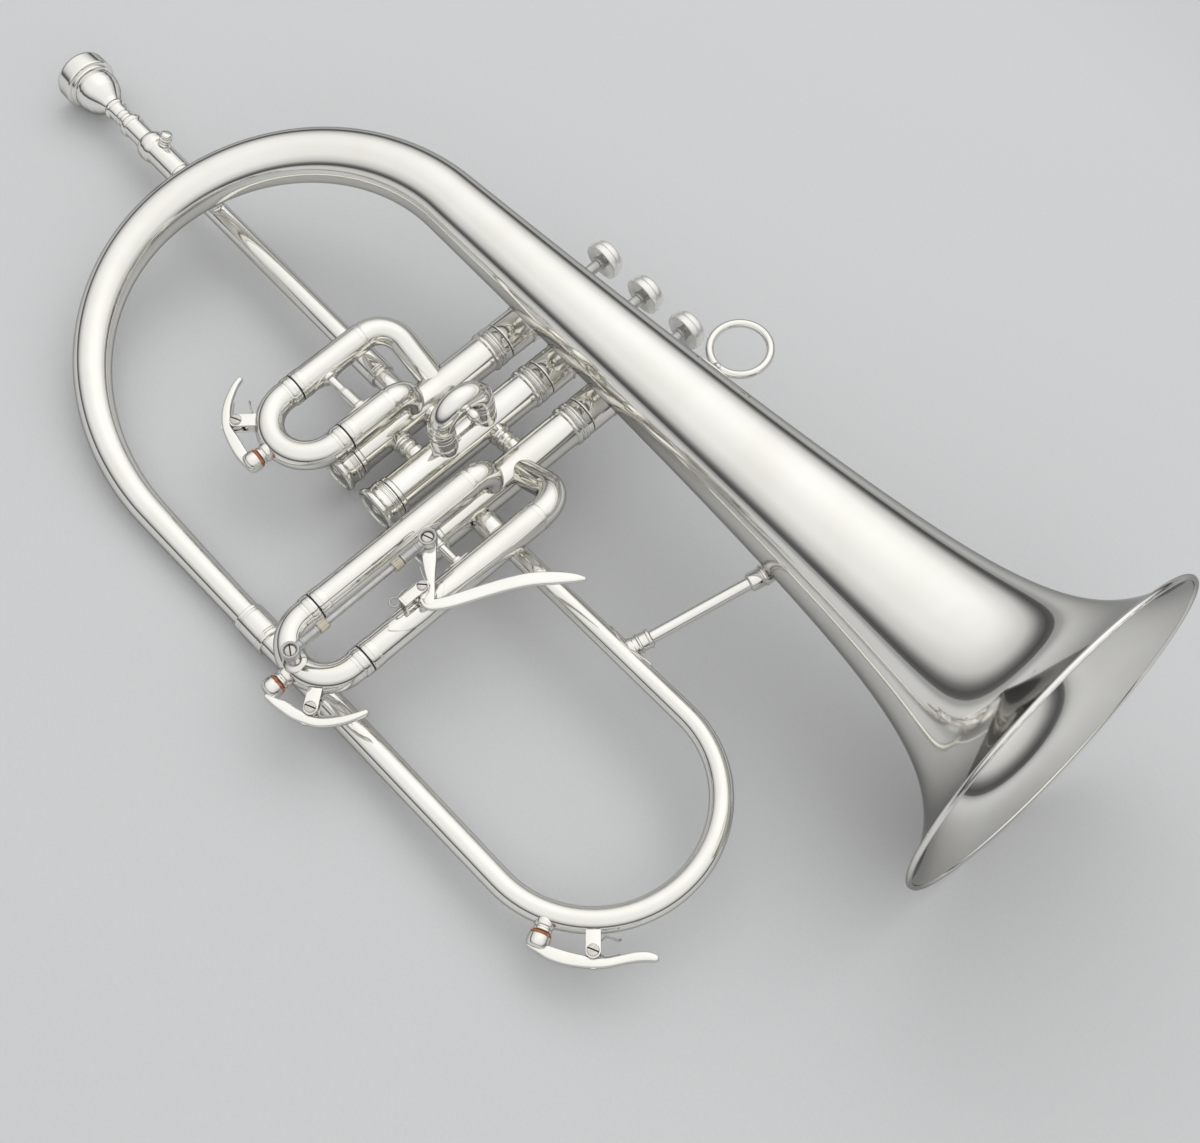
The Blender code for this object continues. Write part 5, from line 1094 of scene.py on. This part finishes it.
# leadpipe brace to the bow
leadSpot = lead(leadSet["braceAt"])
nearest = min(range(len(bowPath)), key=lambda i: (bowPath[i] - leadSpot).length)
bowSpot = bowPath[nearest]
leadOut = (bowSpot - leadSpot).normalized()
leadReach = (bowSpot - leadSpot).length - bowRadius(bowRuns[nearest])
leadProfile = [(0, 3.6), (3.6, 3.6), (3.5, 5.5), (3.0, 6.0), (1.9, 6.5), (1.9, leadReach - 2.4),
               (3.0, leadReach - 1.8), (3.6, leadReach - 1.2), (3.6, leadReach + 1.0), (0, leadReach + 1.0)]
leadStay = turned(leadProfile, leadSpot, leadOut, steps=40, soft=0.25)
bowRun = (bowPath[min(nearest + 1, len(bowPath) - 1)] - bowPath[nearest - 1]).normalized()
bowSkin = tubeSkin(bowSpot, bowRun, leadSpot - bowSpot, bowRadius(bowRuns[nearest]))
leadPlates = [wrapPlate(tubeSkin(leadSpot, leadAxis, leadOut, leadSet["radius"]), 8.0, 4.2, 0.45),
              wrapPlate(bowSkin, 7.0, 4.6, 0.45)]
settle(joinAll(leadStay, *leadPlates), "leadStay", "horn", silverPlate, "leadpipe_brace")

# finger ring on the bell
ringSet = {"x": -200.0, "hoop": 12.6, "wire": 1.7, "lift": 12.6, "footReach": 12.0, "clear": 0.3, "seat": 2.4}
ringBase = bellRadius(-ringSet["x"] - ringSet["footReach"]) + ringSet["clear"] + ringSet["seat"]
ringCentre = Vector((ringSet["x"], ringBase + ringSet["lift"], 0.0))
hoop = turned([(ringSet["hoop"] + ringSet["wire"] * math.cos(math.pi * i / 10),
                ringSet["wire"] * math.sin(math.pi * i / 10)) for i in range(20)], ringCentre, zAxis,
              steps=96, closed=True)
ringFoot = wrapPlate(bellSkin(Vector((ringSet["x"], 1.0, 0.0))), 13.0, 5.2, 0.9, power=2.2)
ringSeat = turned([(0, -2.4), (4.0, -2.4), (3.4, -0.6), (2.5, 0.8), (2.1, 2.2), (0, 2.2)],
                  (ringSet["x"], ringBase - 1.6, 0.0), yAxis, steps=40, soft=0.4)
settle(joinAll(hoop, ringFoot, ringSeat), "fingerHoop", "horn", silverPlate, "finger_ring")
print("braces and ring made")

# floor, world and lamps
studioSet = {"floorZ": -0.0006, "floorSize": 8.0, "keyPlace": (-0.35, 0.75, 1.3), "keySize": (1.7, 1.1),
             "key": 5.0, "fillPlace": (0.95, -0.7, 1.1), "fillSize": (1.0, 0.8), "fill": 1.6, "world": 1.08}
clearPick()
bpy.ops.mesh.primitive_plane_add(size=studioSet["floorSize"], location=(0, 0, studioSet["floorZ"]))
floor = bpy.context.object
floor.name = "studioFloor"
finish, nodes, links, shader, place = startFinish("paleStudioPaper")
grain = addNoise(nodes, links, place, 700.0, 4.0)
# the floor's colour is multiplied down from full at 0.42 m to 0.6 at 1 m from the middle: a painted pool of
# light round the horn
reach = nodes.new("ShaderNodeVectorMath")
reach.operation = "LENGTH"
links.new(place, reach.inputs[0])
paintedLightPool = nodes.new("ShaderNodeMix")
paintedLightPool.data_type, paintedLightPool.blend_type = "RGBA", "MULTIPLY"
paintedLightPool.inputs["Factor"].default_value = 1.0
links.new(addRamp(nodes, links, grain, [(0.3, (0.585, 0.59, 0.60)), (0.7, (0.605, 0.61, 0.62))]),
          paintedLightPool.inputs["A"])
links.new(addRamp(nodes, links, reach.outputs["Value"], [(0.42, (1.0, 1.0, 1.0)), (1.0, (0.6, 0.6, 0.6))]),
          paintedLightPool.inputs["B"])
links.new(paintedLightPool.outputs["Result"], shader.inputs["Base Color"])
shader.inputs["Roughness"].default_value = 0.8
floor.data.materials.append(finish)

world = bpy.data.worlds.new("studioRoom")
bpy.context.scene.world = world
world.use_nodes = True
nodes, links = world.node_tree.nodes, world.node_tree.links
backdrop = nodes["Background"]
direction = nodes.new("ShaderNodeTexCoord").outputs["Generated"]
split = nodes.new("ShaderNodeSeparateXYZ")
links.new(direction, split.inputs[0])
links.new(addRamp(nodes, links, split.outputs["Z"],
                  [(0.0, (0.10, 0.10, 0.103)), (0.07, (0.07, 0.07, 0.072)), (0.15, (0.16, 0.16, 0.164)),
                   (0.30, (0.52, 0.52, 0.52)), (0.60, (0.78, 0.78, 0.775)), (1.0, (0.86, 0.86, 0.85))]),
          backdrop.inputs["Color"])
backdrop.inputs["Strength"].default_value = studioSet["world"]
towards = nodes.new("ShaderNodeVectorMath")
towards.operation = "DOT_PRODUCT"
towards.inputs[1].default_value = Vector(studioSet["keyPlace"]).normalized()
links.new(direction, towards.inputs[0])
glow = nodes.new("ShaderNodeBackground")
links.new(addRamp(nodes, links, towards.outputs["Value"],
                  [(0.60, (0.0, 0.0, 0.0)), (0.82, (0.08, 0.08, 0.08)), (0.95, (0.18, 0.18, 0.18)),
                   (1.0, (0.20, 0.20, 0.20))]),
          glow.inputs["Color"])
both = nodes.new("ShaderNodeAddShader")
links.new(backdrop.outputs[0], both.inputs[0])
links.new(glow.outputs[0], both.inputs[1])
links.new(both.outputs[0], nodes["World Output"].inputs["Surface"])


def softbox(name, place, target, width, height, power):
    clearPick()
    bpy.ops.object.light_add(type="AREA", location=place)
    lamp = bpy.context.object
    lamp.name = name
    lamp.data.shape = "RECTANGLE"
    lamp.data.size, lamp.data.size_y = width, height
    lamp.data.energy = power
    lamp.rotation_euler = (Vector(target) - Vector(place)).to_track_quat("-Z", "Y").to_euler()
    lamp.visible_glossy = False  # the polished silver mirrors the soft room, not the lamps' hard edges


softbox("keySoftbox", studioSet["keyPlace"], (0, 0, 0), *studioSet["keySize"], studioSet["key"])
softbox("fillSoftbox", studioSet["fillPlace"], (0, 0, 0), *studioSet["fillSize"], studioSet["fill"])

# camera as the photograph has it, in the horn's axes
cameraSet = {"place": (112.3, -291.9, 696.6), "right": (0.6789, 0.733, -0.0416),
             "ahead": (-0.355, 0.2782, -0.8925), "lens": 60.0, "sensor": 36.0}
clearPick()
bpy.ops.object.camera_add()
camera = bpy.context.object
camera.name = "photoCamera"
camera.data.lens, camera.data.sensor_width = cameraSet["lens"], cameraSet["sensor"]
camera.data.clip_start = 0.01
ahead = (hornTurn @ Vector(cameraSet["ahead"])).normalized()
right = hornTurn @ Vector(cameraSet["right"])
right = (right - ahead * right.dot(ahead)).normalized()
camera.matrix_world = Matrix.Translation(hornPlace @ Vector(cameraSet["place"])) @ Matrix(
    (right, right.cross(ahead), -ahead)).transposed().to_4x4()
bpy.context.scene.camera = camera
bpy.context.scene.view_settings.view_transform = "Standard"
print("studio made")
